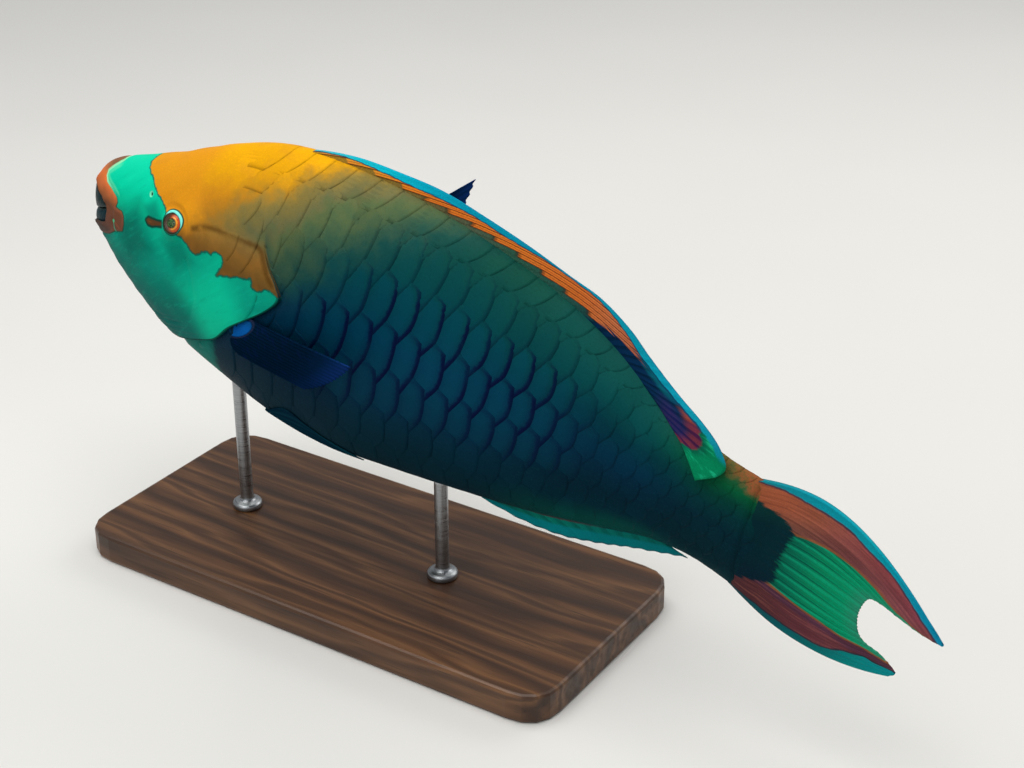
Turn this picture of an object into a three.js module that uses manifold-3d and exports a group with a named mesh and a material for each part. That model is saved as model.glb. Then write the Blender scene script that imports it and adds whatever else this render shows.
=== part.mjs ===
// Parrotfish, terminal-phase male, life size, swimming nose up with its tail
// swung to its left, on a plain display stand.
//
// Fish frame, before the pose is applied (mm):
//   s  distance from the snout along the body, toward the tail
//   x  toward the fish's left
//   z  up
// The body axis is bent sideways behind the belly, and the whole fish is then
// pitched nose up and lifted onto two rods. World: +Z up, head toward -Y,
// the fish's left toward +X, floor at z = 0.

import * as THREE from 'three';
import { mergeVertices } from 'three/addons/utils/BufferGeometryUtils.js';
import Module from 'manifold-3d';

const wasm = await Module();
wasm.setup();

const DEG = Math.PI / 180;
const GAP = 0.3;                 // play left between pieces that touch

// ---------------------------------------------------------------- pose
const PITCH = 12 * DEG;          // nose up
const TAIL_BEND = 10 * DEG;      // tail swung to the fish's left
const BEND_START = 230, BEND_END = 520;
const PIVOT_S = 200;             // point of the axis over the stand's middle
const PIVOT_HEIGHT = 172;        // its height over the floor

// ---------------------------------------------------------------- body
// One row per station: [s, top, bottom, half width, level of greatest width]
const STATIONS = [
  [2.2, -1.0, -9.0, 1.2, -5.0],
  [2.6, 3.5, -14.5, 5.2, -6.0],
  [4.0, 8.6, -19.5, 8.8, -7.5],
  [6.8, 13.6, -24.3, 11.8, -9.0],
  [12.2, 18.6, -30.0, 15.0, -10.5],
  [22.0, 24.5, -38.0, 18.8, -12.0],
  [40.0, 33.3, -50.4, 25.2, -13.0],
  [64.0, 45.4, -63.4, 31.2, -12.0],
  [92.0, 61.6, -73.0, 34.8, -10.0],
  [125.0, 76.4, -80.4, 38.8, -7.0],
  [160.0, 84.4, -87.0, 41.0, -4.0],
  [200.0, 87.0, -88.0, 39.6, -2.5],
  [245.0, 84.5, -80.5, 35.6, -1.0],
  [290.0, 78.0, -71.5, 29.8, 0.5],
  [330.0, 69.0, -62.0, 23.4, 1.5],
  [370.0, 54.0, -48.0, 17.0, 2.0],
  [400.0, 42.0, -36.5, 13.2, 2.0],
  [428.0, 35.4, -31.0, 10.6, 1.5],
  [456.0, 35.0, -31.6, 8.4, 1.0],
];
const SNOUT_S = STATIONS[0][0];
const BODY_END = 455;
const STALK_CUT = 396;           // trunk and tail stalk part here

// Rear edge of the head: s of the gill-cover margin by angle from the back
// (0) round the side to the throat (180).
const COVER_EDGE = [
  [0, 138], [32, 142], [48, 146.5], [61, 151], [69, 158], [75, 166], [80, 170],
  [86, 163.5], [94, 150], [102, 138], [113, 127], [124, 110], [140, 90],
  [160, 75], [180, 68],
];
const COVER_STEP = 1.5;          // the gill cover stands proud of the trunk

const EYE = { s: 84.6, z: 17.4, radius: 9.2, proud: 3.1 };

// ---------------------------------------------------------------- splines
function hermite(p0, p1, p2, p3, t) {
  const a = 2 * p1, b = p2 - p0, c = 2 * p0 - 5 * p1 + 4 * p2 - p3;
  const d = -p0 + 3 * p1 - 3 * p2 + p3;
  return 0.5 * (a + b * t + c * t * t + d * t * t * t);
}
// row of a table at the running number u (smooth through every row)
function rowAt(table, u) {
  const n = table.length;
  const i = Math.min(n - 2, Math.max(0, Math.floor(u)));
  const t = Math.min(1, Math.max(0, u - i));
  const r = (k) => {
    if (k < 0) return table[0].map((v, j) => 2 * v - table[1][j]);
    if (k > n - 1) return table[n - 1].map((v, j) => 2 * v - table[n - 2][j]);
    return table[k];
  };
  const [a, b, c, d] = [r(i - 1), r(i), r(i + 1), r(i + 2)];
  return b.map((_, j) => hermite(a[j], b[j], c[j], d[j], t));
}
// row of a table at the value s of its first column
function rowFor(table, s) {
  let lo = 0, hi = table.length - 1;
  for (let k = 0; k < 42; k++) {
    const m = (lo + hi) / 2;
    if (rowAt(table, m)[0] < s) lo = m; else hi = m;
  }
  return rowAt(table, (lo + hi) / 2);
}
const smooth = (a, b, v) => {
  const t = Math.min(1, Math.max(0, (v - a) / (b - a)));
  return t * t * (3 - 2 * t);
};
const lerp = (a, b, t) => a + (b - a) * t;

// ---------------------------------------------------------------- bent axis
const AXIS = (() => {
  const from = -60, step = 0.5, n = 1500, rows = [];
  let x = 0, y = 0;
  const phi = (s) => TAIL_BEND * smooth(BEND_START, BEND_END, s);
  for (let i = 0; i < n; i++) {
    const s = from + i * step;
    rows.push([x, y]);
    const p = phi(s + step / 2);
    x += Math.sin(p) * step; y += Math.cos(p) * step;
  }
  const shift = rows[Math.round(-from / step)][1];
  return { phi, at(s) {
    const f = (s - from) / step, i = Math.floor(f), t = f - i;
    return [lerp(rows[i][0], rows[i + 1][0], t),
      lerp(rows[i][1], rows[i + 1][1], t) - shift];
  } };
})();
// fish frame to the fish group's own x, y, z
function place(s, x, z) {
  const [cx, cy] = AXIS.at(s), p = AXIS.phi(s);
  return [cx + x * Math.cos(p), cy - x * Math.sin(p) - PIVOT_S, z];
}

// ---------------------------------------------------------------- skin
function coverEdge(deg) {
  return rowFor(COVER_EDGE, Math.abs(deg))[1];
}
// point of the body's surface; deg 0 is the back, 90 the left side, 180 the
// belly, negative the right side; grow moves it outward
function skin(s, deg, grow = 0, cover = 0) {
  const [, top, bottom, half, level] = rowFor(STATIONS, s);
  const a = deg * DEG, c = Math.cos(a), si = Math.sin(a);
  const ridge = smooth(40, 200, s);
  const up = 1 + 0.14 * ridge, down = 0.93 + 0.12 * smooth(250, 420, s);
  const e = c >= 0 ? up : down;
  let x = Math.sign(si) * half * Math.pow(Math.abs(si), e);
  let z = c >= 0 ? level + (top - level) * c : level + (level - bottom) * c;
  const tall = c >= 0 ? top - level : level - bottom;
  const nx = si / half, nz = c / tall, l = Math.hypot(nx, nz) || 1;
  const g = grow + cover;
  return [s, x + g * nx / l, z + g * nz / l];
}
// the swelling of the gill cover toward its rear edge
function coverSwell(s, deg) {
  const d = Math.abs(deg);
  const side = smooth(28, 62, d) * (1 - smooth(150, 176, d));
  return COVER_STEP * side * smooth(34, 2, coverEdge(deg) - s);
}

// ---------------------------------------------------------------- meshes
function geometry(points, faces) {
  const g = new THREE.BufferGeometry();
  g.setAttribute('position',
    new THREE.BufferAttribute(new Float32Array(points.flat()), 3));
  g.setIndex(faces.flat());
  return g;
}
// rings of equal count, each closed on itself, capped by a fan at both ends
function loft(rings, capA, capB) {
  const m = rings[0].length, pts = [], f = [];
  rings.forEach((r) => pts.push(...r));
  for (let j = 0; j + 1 < rings.length; j++) {
    for (let i = 0; i < m; i++) {
      const k = (i + 1) % m;
      const a = j * m + i, b = j * m + k, c = a + m, d = b + m;
      f.push([a, b, d], [a, d, c]);
    }
  }
  const n = pts.length, last = (rings.length - 1) * m;
  pts.push(capA, capB);
  for (let i = 0; i < m; i++) {
    const k = (i + 1) % m;
    f.push([n, k, i], [n + 1, last + i, last + k]);
  }
  return outward(geometry(pts, f));
}
function volume(g) {
  const p = g.attributes.position, ix = g.index;
  let v = 0;
  const a = new THREE.Vector3(), b = new THREE.Vector3(), c = new THREE.Vector3();
  for (let i = 0; i < ix.count; i += 3) {
    a.fromBufferAttribute(p, ix.getX(i));
    b.fromBufferAttribute(p, ix.getX(i + 1));
    c.fromBufferAttribute(p, ix.getX(i + 2));
    v += a.dot(b.cross(c)) / 6;
  }
  return v;
}
function outward(g) {
  if (volume(g) < 0) {
    const ix = g.index.array;
    for (let i = 0; i < ix.length; i += 3) {
      const t = ix[i]; ix[i] = ix[i + 1]; ix[i + 1] = t;
    }
  }
  return g;
}
function solid(g0) {
  let g = g0.clone();
  g.deleteAttribute('normal'); g.deleteAttribute('uv');
  g = mergeVertices(g, 1e-4);
  return new wasm.Manifold(new wasm.Mesh({
    numProp: 3,
    vertProperties: new Float32Array(g.attributes.position.array),
    triVerts: new Uint32Array(g.index.array),
  }));
}
function fromSolid(m) {
  const r = m.getMesh(), p = [], n = r.numProp;
  for (let i = 0; i < r.vertProperties.length; i += n) {
    p.push([r.vertProperties[i], r.vertProperties[i + 1], r.vertProperties[i + 2]]);
  }
  const f = [];
  for (let i = 0; i < r.triVerts.length; i += 3) {
    f.push([r.triVerts[i], r.triVerts[i + 1], r.triVerts[i + 2]]);
  }
  return geometry(p, f);
}
const cut = (g, ...tools) => {
  let m = solid(g);
  tools.forEach((t) => { m = m.subtract(solid(t)); });
  return fromSolid(m);
};

const AROUND = 40;
const ANGLES = Array.from({ length: AROUND }, (_, i) => -180 + 360 * i / AROUND);
// body between two rear-edge functions of the angle
function bodyPiece(steps, from, to, opt = {}) {
  const rings = steps.map((t) => ANGLES.map((deg) => {
    const s = lerp(from(deg), to(deg), t);
    const swell = opt.cover ? coverSwell(s, deg) : 0;
    return place(...skin(s, deg, opt.grow || 0, swell));
  }));
  return loft(rings, place(...opt.capA), place(...opt.capB));
}
const headSteps = (() => {
  const r = [];
  for (let u = 0; u <= 10.301; u += 0.42) {
    r.push((rowAt(STATIONS, u)[0] - SNOUT_S) / (rowAt(STATIONS, 10.3)[0] - SNOUT_S));
  }
  r[0] = 0; r.push(1);
  return r.filter((v, i) => i === 0 || v > r[i - 1]).filter((v) => v <= 1);
})();
const even = (n) => Array.from({ length: n + 1 }, (_, i) => i / n);

// whole body a little larger than life, the tool that clears its neighbours
const bodyTool = bodyPiece(even(70).map((t) => Math.pow(t, 1.6)), () => SNOUT_S,
  () => BODY_END, { grow: GAP, cover: true, capA: [SNOUT_S - GAP, 0, -5],
    capB: [BODY_END + GAP, 0, 0] });

const CAP_S = 112, CAP_Z = -2;
let head = bodyPiece(headSteps, () => SNOUT_S, coverEdge,
  { cover: true, capA: [SNOUT_S - 0.2, 0, -5], capB: [CAP_S, 0, CAP_Z] });
const trunk = bodyPiece(even(14), (d) => coverEdge(d) + 1.5 * GAP, () => STALK_CUT,
  { capA: [CAP_S + 1.5 * GAP, 0, CAP_Z], capB: [STALK_CUT, 0, 0] });
const stalk = bodyPiece(even(5), () => STALK_CUT + GAP, () => BODY_END,
  { capA: [STALK_CUT + GAP, 0, 0], capB: [BODY_END, 0, 0] });

// ---------------------------------------------------------------- eyes
function eyeBall(side, grow = 0) {
  const [, x, z] = eyeSeat();
  const g = new THREE.SphereGeometry(EYE.radius + grow, 18, 12);
  g.rotateZ(-Math.PI / 2 * side);
  const [px, py, pz] = place(EYE.s, side * x, z);
  g.translate(px, py, pz);
  return g;
}
// centre of the ball, sunk so that only a low dome stands out
function eyeSeat() {
  let best = null;
  for (let d = 30; d < 110; d += 0.25) {
    const p = skin(EYE.s, d);
    if (!best || Math.abs(p[2] - EYE.z) < Math.abs(best[1][2] - EYE.z)) best = [d, p];
  }
  const [d, p] = best;
  const q = skin(EYE.s, d, EYE.proud - EYE.radius);
  return q;
}
const closed = (g0) => {
  const g = g0.clone();
  g.deleteAttribute('normal'); g.deleteAttribute('uv');
  return outward(mergeVertices(g, 1e-4));
};

// ---------------------------------------------------------------- mouth
// The mouth stands a little open, with the two tooth plates between the lips.
// Levels by bearing from the front: [degrees, upper lip, bite, lower lip]
const MOUTH = { centre: 27, reach: 25.4, half: 18.2, inset: 0.9, thick: 2.6,
  sweep: 80, open: 0.8 };
const GAPE = [
  [0, 3.6, -13.6, -22.0], [28, 3.8, -13.0, -21.2], [44, 2.9, -11.2, -19.5],
  [60, 1.1, -8.6, -17.4], [71, 0.2, -6.4, -15.5], [80, -2.4, -5.2, -13.3],
  [86, -6.0, -7.5, -9.8],
];
const gape = (a, k) => rowFor(GAPE, Math.abs(a) / DEG)[k];
// a bar bent round the snout in plan, between two levels at each bearing
const BEARINGS = Array.from({ length: 13 }, (_, i) => MOUTH.sweep * (i / 6 - 1));
function jawBar(inner, outer, low, high, bearings = BEARINGS) {
  const rings = [], n = bearings.length - 1;
  for (const bearing of bearings) {
    const a = bearing * DEG;
    const at = (off, z) => place(MOUTH.centre - (MOUTH.reach + off) * Math.cos(a),
      (MOUTH.half + off) * Math.sin(a), z);
    const [lo, hi] = [low(a), high(a)], mid = (lo + hi) / 2;
    rings.push([at(inner, lo), at(outer, lo), at(outer + 0.15, mid),
      at(outer, hi), at(inner, hi), at(inner, mid)]);
  }
  const mean = (r) => r[0].map((_, k) => r.reduce((t, p) => t + p[k], 0) / r.length);
  return loft(rings, mean(rings[0]), mean(rings[n]));
}
const mouthSlot = jawBar(-MOUTH.inset - MOUTH.thick - 1.2 - GAP, 9,
  (a) => gape(a, 3) - 1.8 * GAP, (a) => gape(a, 1) + 1.8 * GAP,
  [-MOUTH.sweep - 2, ...BEARINGS, MOUTH.sweep + 2]);
const beakUpper = jawBar(-MOUTH.inset - MOUTH.thick, -MOUTH.inset,
  (a) => gape(a, 2) + MOUTH.open * 0.5, (a) => gape(a, 1));
const beakLower = jawBar(-MOUTH.inset - MOUTH.thick - 1.2, -MOUTH.inset - 1.2,
  (a) => gape(a, 3), (a) => gape(a, 2) - MOUTH.open * 0.5);

head = cut(head, mouthSlot, closed(eyeBall(1, GAP)), closed(eyeBall(-1, GAP)));

// ---------------------------------------------------------------- fins
// A thin closed blade over a grid of points; thick(i, t) is its full thickness.
function blade(ni, nt, point, thick) {
  const P = [];
  for (let i = 0; i <= ni; i++) {
    P.push([]);
    for (let j = 0; j <= nt; j++) {
      P[i].push(new THREE.Vector3(...place(...point(i / ni, j / nt))));
    }
  }
  const pts = [], id = (side, i, j) => side * (ni + 1) * (nt + 1) + i * (nt + 1) + j;
  for (const side of [1, -1]) {
    for (let i = 0; i <= ni; i++) {
      for (let j = 0; j <= nt; j++) {
        const a = P[Math.min(ni, i + 1)][j].clone().sub(P[Math.max(0, i - 1)][j]);
        const b = P[i][Math.min(nt, j + 1)].clone().sub(P[i][Math.max(0, j - 1)]);
        const n = a.cross(b).normalize().multiplyScalar(side * thick(i / ni, j / nt) / 2);
        const q = P[i][j].clone().add(n);
        pts.push([q.x, q.y, q.z]);
      }
    }
  }
  const f = [];
  const quad = (a, b, c, d) => f.push([a, b, c], [a, c, d]);
  for (let i = 0; i < ni; i++) {
    for (let j = 0; j < nt; j++) {
      quad(id(0, i, j), id(0, i + 1, j), id(0, i + 1, j + 1), id(0, i, j + 1));
      quad(id(1, i, j), id(1, i, j + 1), id(1, i + 1, j + 1), id(1, i + 1, j));
    }
  }
  for (let i = 0; i < ni; i++) {
    quad(id(0, i, 0), id(1, i, 0), id(1, i + 1, 0), id(0, i + 1, 0));
    quad(id(0, i + 1, nt), id(1, i + 1, nt), id(1, i, nt), id(0, i, nt));
  }
  for (let j = 0; j < nt; j++) {
    quad(id(0, 0, j + 1), id(1, 0, j + 1), id(1, 0, j), id(0, 0, j));
    quad(id(0, ni, j), id(1, ni, j), id(1, ni, j + 1), id(0, ni, j + 1));
  }
  return outward(geometry(pts, f));
}
const bodyBottom = (s) => rowFor(STATIONS, s)[2];

// Median fins, laid back. The dorsal fin's rays: [number along the base, s of
// the root, s of the tip, height of the tip over the body, lean of the root and
// of the tip to the left in degrees round the body]; its last rays lie down over
// the left side of the tail stalk.
const DORSAL = [
  [0, 150, 153, 1.3, 0, 0], [0.06, 165.6, 169.7, 3.9, 0, 0], [0.12, 181.2, 186.4, 6, 0, 0],
  [0.2, 202, 208.6, 7.8, 0, 0], [0.3, 228, 236.4, 10.6, 0, 0], [0.4, 254, 264.2, 10.8, 0, 0],
  [0.5, 280, 292, 11.4, 0, 0], [0.6, 306, 319.8, 12.2, 0, 0], [0.68, 326.8, 342, 15.2, 0, 0],
  [0.75, 345, 361.5, 14.8, 0, 0], [0.8, 357, 375.4, 11.8, 2, 0], [0.86, 370, 395, 9.6, 8, 0],
  [0.905, 379.5, 415, 7.6, 13, 3], [0.935, 387, 428, 5.2, 17, 10],
  [0.96, 394, 435.5, 3.8, 22, 24], [0.98, 400, 433.5, 3.2, 27, 41], [1, 405, 424.5, 2.9, 31, 57],
];
function dorsalPoint(i, t) {
  const [, s0, s1, high, root, tip] = rowFor(DORSAL, i);
  const base = GAP + 0.1 + 1.4 * smooth(0.85, 0.93, i);
  return skin(lerp(s0, s1, t), lerp(Math.max(0, root), Math.max(0, tip), Math.pow(t, 1.2)),
    lerp(base, Math.max(high, 1), t) + 0.035 * (s1 - s0) * t * (1 - t) * (1 - smooth(0.85, 0.93, i)));
}
// more columns where the last rays turn over
const dorsalStep = (i) => (i < 0.72 ? i / 0.72 * 0.86 : 0.86 + (i - 0.72) / 0.28 * 0.14);
const dorsal = cut(blade(32, 3, (i, t) => dorsalPoint(dorsalStep(i), t),
  (i, t) => lerp(3.4, 1.2, t) * lerp(1, 0.6, smooth(0.8, 1, dorsalStep(i)))), bodyTool);

const ANAL = { from: 292, to: 392, tipFrom: 297, tipTo: 428, edge: [
  [290, 1.2], [300, 4.2], [312, 7.0], [330, 10.2], [352, 12.8], [370, 12.2],
  [386, 11.0], [403, 9.0], [416, 6.0], [429, 2.2]] };
function medianFin(fin, level, sign, ni) {
  return blade(ni, 3, (i, t) => {
    const s0 = lerp(fin.from, fin.to, i), s1 = lerp(fin.tipFrom, fin.tipTo, i);
    const s = lerp(s0, s1, t);
    const z0 = level(s0) + sign * (GAP + 0.1 + 1.4 * smooth(0.9, 1, i));
    const z1 = level(s1) + sign * Math.max(rowFor(fin.edge, s1)[1], 1.0);
    const dip = sign * 0.35 * (s1 - s0) * t * (1 - t) * 0.1;
    return [s, 0, lerp(z0, z1, t) + dip];
  }, (i, t) => lerp(3.4, 1.2, t) * lerp(1, 0.6, smooth(0.8, 1, i)));
}
const anal = medianFin(ANAL, bodyBottom, -1, 18);

// Tail fin, half closed: rays run from the stalk's end to the margin.
// Margin rows: [number along the margin, s, z]
const TAIL_BASE = { top: 34.2, bottom: -30.8 };
const TAIL_MARGIN = [
  [0, 567, 16.5], [0.06, 571, 13.5], [0.14, 559, 12.0], [0.22, 546, 12.6],
  [0.30, 535, 13.2], [0.38, 528, 10.6], [0.50, 525, -1.0], [0.62, 527.0, -11.5],
  [0.72, 532, -16.0], [0.82, 542, -17.2], [0.93, 551.5, -22.0], [1, 549, -26.5],
];
const TAIL_TWIST = 10 * DEG;      // the fin's top leans to the fish's left
function tailPoint(i, t) {
  const [, s1, z1] = rowFor(TAIL_MARGIN, i);
  const s0 = BODY_END + GAP + 0.2, z0 = lerp(TAIL_BASE.top, TAIL_BASE.bottom, i);
  const k = 2 * i - 1;                               // -1 top edge, 1 bottom edge
  const belly = Math.sign(-k) * (k > 0 ? 22 : 40) * Math.pow(Math.abs(k), 1.5);
  const cs = lerp(s0, s1, 0.57), cz = lerp(z0, z1, 0.57) + belly;
  const q = (a, c, b) => a * (1 - t) * (1 - t) + 2 * c * t * (1 - t) + b * t * t;
  const s = q(s0, cs, s1), z = q(z0, cz, z1);
  const tw = TAIL_TWIST * smooth(462, 560, s), m = 1 - 5 * smooth(470, 560, s);
  return [s, (z - m) * Math.sin(tw), m + (z - m) * Math.cos(tw)];
}
const tailFin = blade(24, 9, tailPoint, (i, t) => {
  const edge = Math.abs(2 * i - 1);
  return lerp(lerp(12.5, 4.5, Math.pow(edge, 2.2)), 1.4, Math.pow(t, 0.42));
});

// Pectoral fins: a fan of rays spread out, back and up from behind the cover.
// Vectors are (back, out, up) from the ray's root.
const PECTORAL = {
  rootTop: [149, -11], rootBottom: [123, -42], longest: 119, shortest: 73,
  left: { lead: [102, 47, 40], last: [72, 9, 7] },
  right: { lead: [27, 100, 40], last: [50, 36, 5] },
};
function sideAt(s, z, grow) {
  // point of the left side at a level
  let lo = 1, hi = 179;
  for (let k = 0; k < 40; k++) {
    const m = (lo + hi) / 2;
    if (skin(s, m)[2] > z) lo = m; else hi = m;
  }
  return skin(s, lo, grow);
}
function pectoral(side) {
  const v = side > 0 ? PECTORAL.left : PECTORAL.right;
  const g = blade(13, 9, (i, t) => {
    const s0 = lerp(PECTORAL.rootTop[0], PECTORAL.rootBottom[0], i);
    const z0 = lerp(PECTORAL.rootTop[1], PECTORAL.rootBottom[1], i);
    const r = sideAt(s0, z0, -3.5);
    const d = [0, 1, 2].map((k) => lerp(v.lead[k], v.last[k], i));
    const len = lerp(PECTORAL.longest, PECTORAL.shortest, Math.pow(i, 1.2));
    const n = Math.hypot(...d), bow = 7 * Math.sin(Math.PI * t) * (1 - 0.4 * i);
    return [r[0] + d[0] / n * len * t,
      side * (r[1] + d[1] / n * len * t + bow * 0.7),
      r[2] + d[2] / n * len * t + bow * 0.4];
  }, (i, t) => lerp(5.4, 1.1, Math.pow(t, 0.4)) * lerp(1, 0.75, i));
  return cut(g, bodyTool);
}

// Pelvic fins: folded back along the belly, a little clear of it at the tip
const PELVIC = { from: 152, to: 224, near: 161, far: 133 };
function pelvic(side) {
  return blade(6, 12, (i, t) => {
    const s0 = PELVIC.from + 9 * i, s1 = lerp(PELVIC.to, PELVIC.to - 34, i * i);
    const s = lerp(s0, s1, t);
    const open = 0.22 + 0.78 * Math.sin(Math.PI * Math.min(1, 0.12 + 0.62 * t));
    const deg = PELVIC.near - (PELVIC.near - PELVIC.far) * i * open;
    return skin(s, side * deg, 1.9 + 0.9 * t * t);
  }, (i, t) => lerp(2.6, 1.4, t));
}

// ---------------------------------------------------------------- stand
const STAND = { length: 330, width: 150, height: 18, corner: 20, bevel: 2,
  rod: 4, rods: [118, 268], collar: 9, collarHeight: 5 };
function standBase() {
  const { length: L, width: W, corner: r, bevel: b, height: h } = STAND;
  const w = W - 2 * b, l = L - 2 * b, sh = new THREE.Shape();
  sh.moveTo(-w / 2 + r, -l / 2);
  sh.lineTo(w / 2 - r, -l / 2);
  sh.quadraticCurveTo(w / 2, -l / 2, w / 2, -l / 2 + r);
  sh.lineTo(w / 2, l / 2 - r);
  sh.quadraticCurveTo(w / 2, l / 2, w / 2 - r, l / 2);
  sh.lineTo(-w / 2 + r, l / 2);
  sh.quadraticCurveTo(-w / 2, l / 2, -w / 2, l / 2 - r);
  sh.lineTo(-w / 2, -l / 2 + r);
  sh.quadraticCurveTo(-w / 2, -l / 2, -w / 2 + r, -l / 2);
  const g = new THREE.ExtrudeGeometry(sh, { depth: h - 2 * b, bevelEnabled: true,
    bevelThickness: b, bevelSize: b, bevelSegments: 2, curveSegments: 4 });
  g.translate(0, 0, b);
  return closed(g);
}
const tilt = new THREE.Matrix4().makeRotationX(-PITCH)
  .premultiply(new THREE.Matrix4().makeTranslation(0, 0, PIVOT_HEIGHT));
const worldBody = bodyTool.clone().applyMatrix4(tilt);
function rod(s) {
  // a turned foot and a plain rod, cut off where it meets the belly
  const p = new THREE.Vector3(...place(s, 0, bodyBottom(s))).applyMatrix4(tilt);
  const z0 = STAND.height + GAP, z1 = p.z + 14;
  const prof = [[0, z0], [STAND.collar, z0], [STAND.collar, z0 + STAND.collarHeight - 1.5],
    [STAND.collar - 1.5, z0 + STAND.collarHeight], [STAND.rod, z0 + STAND.collarHeight],
    [STAND.rod, z1], [0, z1]].map(([x, z]) => new THREE.Vector2(x, z));
  const g = new THREE.LatheGeometry(prof, 16);
  g.rotateX(Math.PI / 2);
  g.translate(p.x, p.y, 0);
  return cut(closed(g), worldBody);
}

// ---------------------------------------------------------------- the object
const paint = {
  bodyTeal: [0x0b5f6e, 0.45, 0], headOrange: [0xd98a1a, 0.45, 0],
  finNavy: [0x10305a, 0.5, 0], finOrange: [0xd9691c, 0.5, 0],
  finGreen: [0x18897a, 0.5, 0], plate: [0x1f6f78, 0.35, 0],
  eye: [0x7a3a20, 0.15, 0], wood: [0x4a2f1d, 0.5, 0], steel: [0x8d9094, 0.35, 0.9],
};
const fish = new THREE.Group();
fish.rotation.x = -PITCH;
fish.position.z = PIVOT_HEIGHT;
function add(parent, name, g, [color, roughness, metalness]) {
  const m = new THREE.Mesh(g,
    new THREE.MeshStandardMaterial({ color, roughness, metalness, flatShading: true }));
  m.name = name;
  parent.add(m);
  return m;
}
add(fish, 'head', head, paint.headOrange);
add(fish, 'trunk', trunk, paint.bodyTeal);
add(fish, 'tail_stalk', stalk, paint.bodyTeal);
add(fish, 'beak_upper', beakUpper, paint.plate);
add(fish, 'beak_lower', beakLower, paint.plate);
for (const [side, word] of [[1, 'left'], [-1, 'right']]) {
  add(fish, `eye_${word}`, closed(eyeBall(side)), paint.eye);
  add(fish, `pectoral_fin_${word}`, pectoral(side), paint.finNavy);
  add(fish, `pelvic_fin_${word}`, pelvic(side), paint.finGreen);
}
add(fish, 'dorsal_fin', dorsal, paint.finOrange);
add(fish, 'anal_fin', anal, paint.finGreen);
add(fish, 'caudal_fin', tailFin, paint.finGreen);

const parrotfish = new THREE.Group();
parrotfish.add(fish);
add(parrotfish, 'stand_base', standBase(), paint.wood);
add(parrotfish, 'stand_rod_front', rod(STAND.rods[0]), paint.steel);
add(parrotfish, 'stand_rod_rear', rod(STAND.rods[1]), paint.steel);

export default parrotfish;
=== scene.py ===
import math
import bpy
import numpy as np
from mathutils import Matrix, Vector

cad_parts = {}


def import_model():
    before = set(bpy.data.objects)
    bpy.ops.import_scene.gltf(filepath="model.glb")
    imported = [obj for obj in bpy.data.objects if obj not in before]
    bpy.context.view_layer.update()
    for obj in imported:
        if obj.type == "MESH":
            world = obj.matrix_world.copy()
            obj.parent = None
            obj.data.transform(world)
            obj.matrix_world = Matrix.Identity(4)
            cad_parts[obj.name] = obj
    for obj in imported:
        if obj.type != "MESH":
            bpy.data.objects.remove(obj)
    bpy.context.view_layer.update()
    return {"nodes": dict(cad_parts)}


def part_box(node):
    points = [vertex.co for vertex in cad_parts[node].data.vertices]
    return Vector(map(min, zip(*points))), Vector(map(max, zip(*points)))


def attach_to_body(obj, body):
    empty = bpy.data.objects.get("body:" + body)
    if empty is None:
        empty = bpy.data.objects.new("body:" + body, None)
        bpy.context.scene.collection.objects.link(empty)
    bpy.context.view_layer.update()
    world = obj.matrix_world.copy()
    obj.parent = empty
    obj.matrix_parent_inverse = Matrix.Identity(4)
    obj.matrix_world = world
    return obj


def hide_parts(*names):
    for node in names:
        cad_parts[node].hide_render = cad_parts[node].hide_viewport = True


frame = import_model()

# ============================================================ the fish frame
# s from the snout toward the tail, x to the fish's left, z up, all in mm.
PITCH = math.radians(12)
TAIL_BEND, BEND_START, BEND_END = math.radians(10), 230.0, 520.0
PIVOT_S, PIVOT_HEIGHT = 200.0, 172.0
SNOUT_S, BODY_END = 2.2, 455.0


def smooth(a, b, v):
    t = np.clip((np.asarray(v, float) - a) / (b - a), 0, 1)
    return t * t * (3 - 2 * t)


def lerp(a, b, t):
    return a + (b - a) * t


def spline(table, u):
    n = len(table)
    u = np.asarray(u, float)
    i = np.clip(np.floor(u), 0, n - 2).astype(int)
    t = np.clip(u - i, 0, 1)[..., None]
    pad = np.vstack([2 * table[0] - table[1], table, 2 * table[-1] - table[-2]])
    a, b, c, d = pad[i], pad[i + 1], pad[i + 2], pad[i + 3]
    return .5 * (2 * b + (c - a) * t + (2 * a - 5 * b + 4 * c - d) * t * t + (3 * b - a - 3 * c + d) * t ** 3)


def table_of(rows):
    rows = np.array(rows, float)
    dense = spline(rows, np.linspace(0, len(rows) - 1, 6000))
    return lambda s: [np.interp(s, dense[:, 0], dense[:, k]) for k in range(1, rows.shape[1])]


# [s, top, bottom, half width, level of greatest width]
station = table_of([
    [2.2, -1.0, -9.0, 1.2, -5.0], [2.6, 3.5, -14.5, 5.2, -6.0], [4.0, 8.6, -19.5, 8.8, -7.5],
    [6.8, 13.6, -24.3, 11.8, -9.0], [12.2, 18.6, -30.0, 15.0, -10.5], [22.0, 24.5, -38.0, 18.8, -12.0],
    [40.0, 33.3, -50.4, 25.2, -13.0], [64.0, 45.4, -63.4, 31.2, -12.0], [92.0, 61.6, -73.0, 34.8, -10.0],
    [125.0, 76.4, -80.4, 38.8, -7.0], [160.0, 84.4, -87.0, 41.0, -4.0], [200.0, 87.0, -88.0, 39.6, -2.5],
    [245.0, 84.5, -80.5, 35.6, -1.0], [290.0, 78.0, -71.5, 29.8, 0.5], [330.0, 69.0, -62.0, 23.4, 1.5],
    [370.0, 54.0, -48.0, 17.0, 2.0], [400.0, 42.0, -36.5, 13.2, 2.0], [428.0, 35.4, -31.0, 10.6, 1.5],
    [456.0, 35.0, -31.6, 8.4, 1.0]])
_edge = table_of([
    [0, 138], [32, 142], [48, 146.5], [61, 151], [69, 158], [75, 166], [80, 170], [86, 163.5], [94, 150],
    [102, 138], [113, 127], [124, 110], [140, 90], [160, 75], [180, 68]])


def cover_edge(deg):
    return _edge(np.abs(deg))[0]


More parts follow.
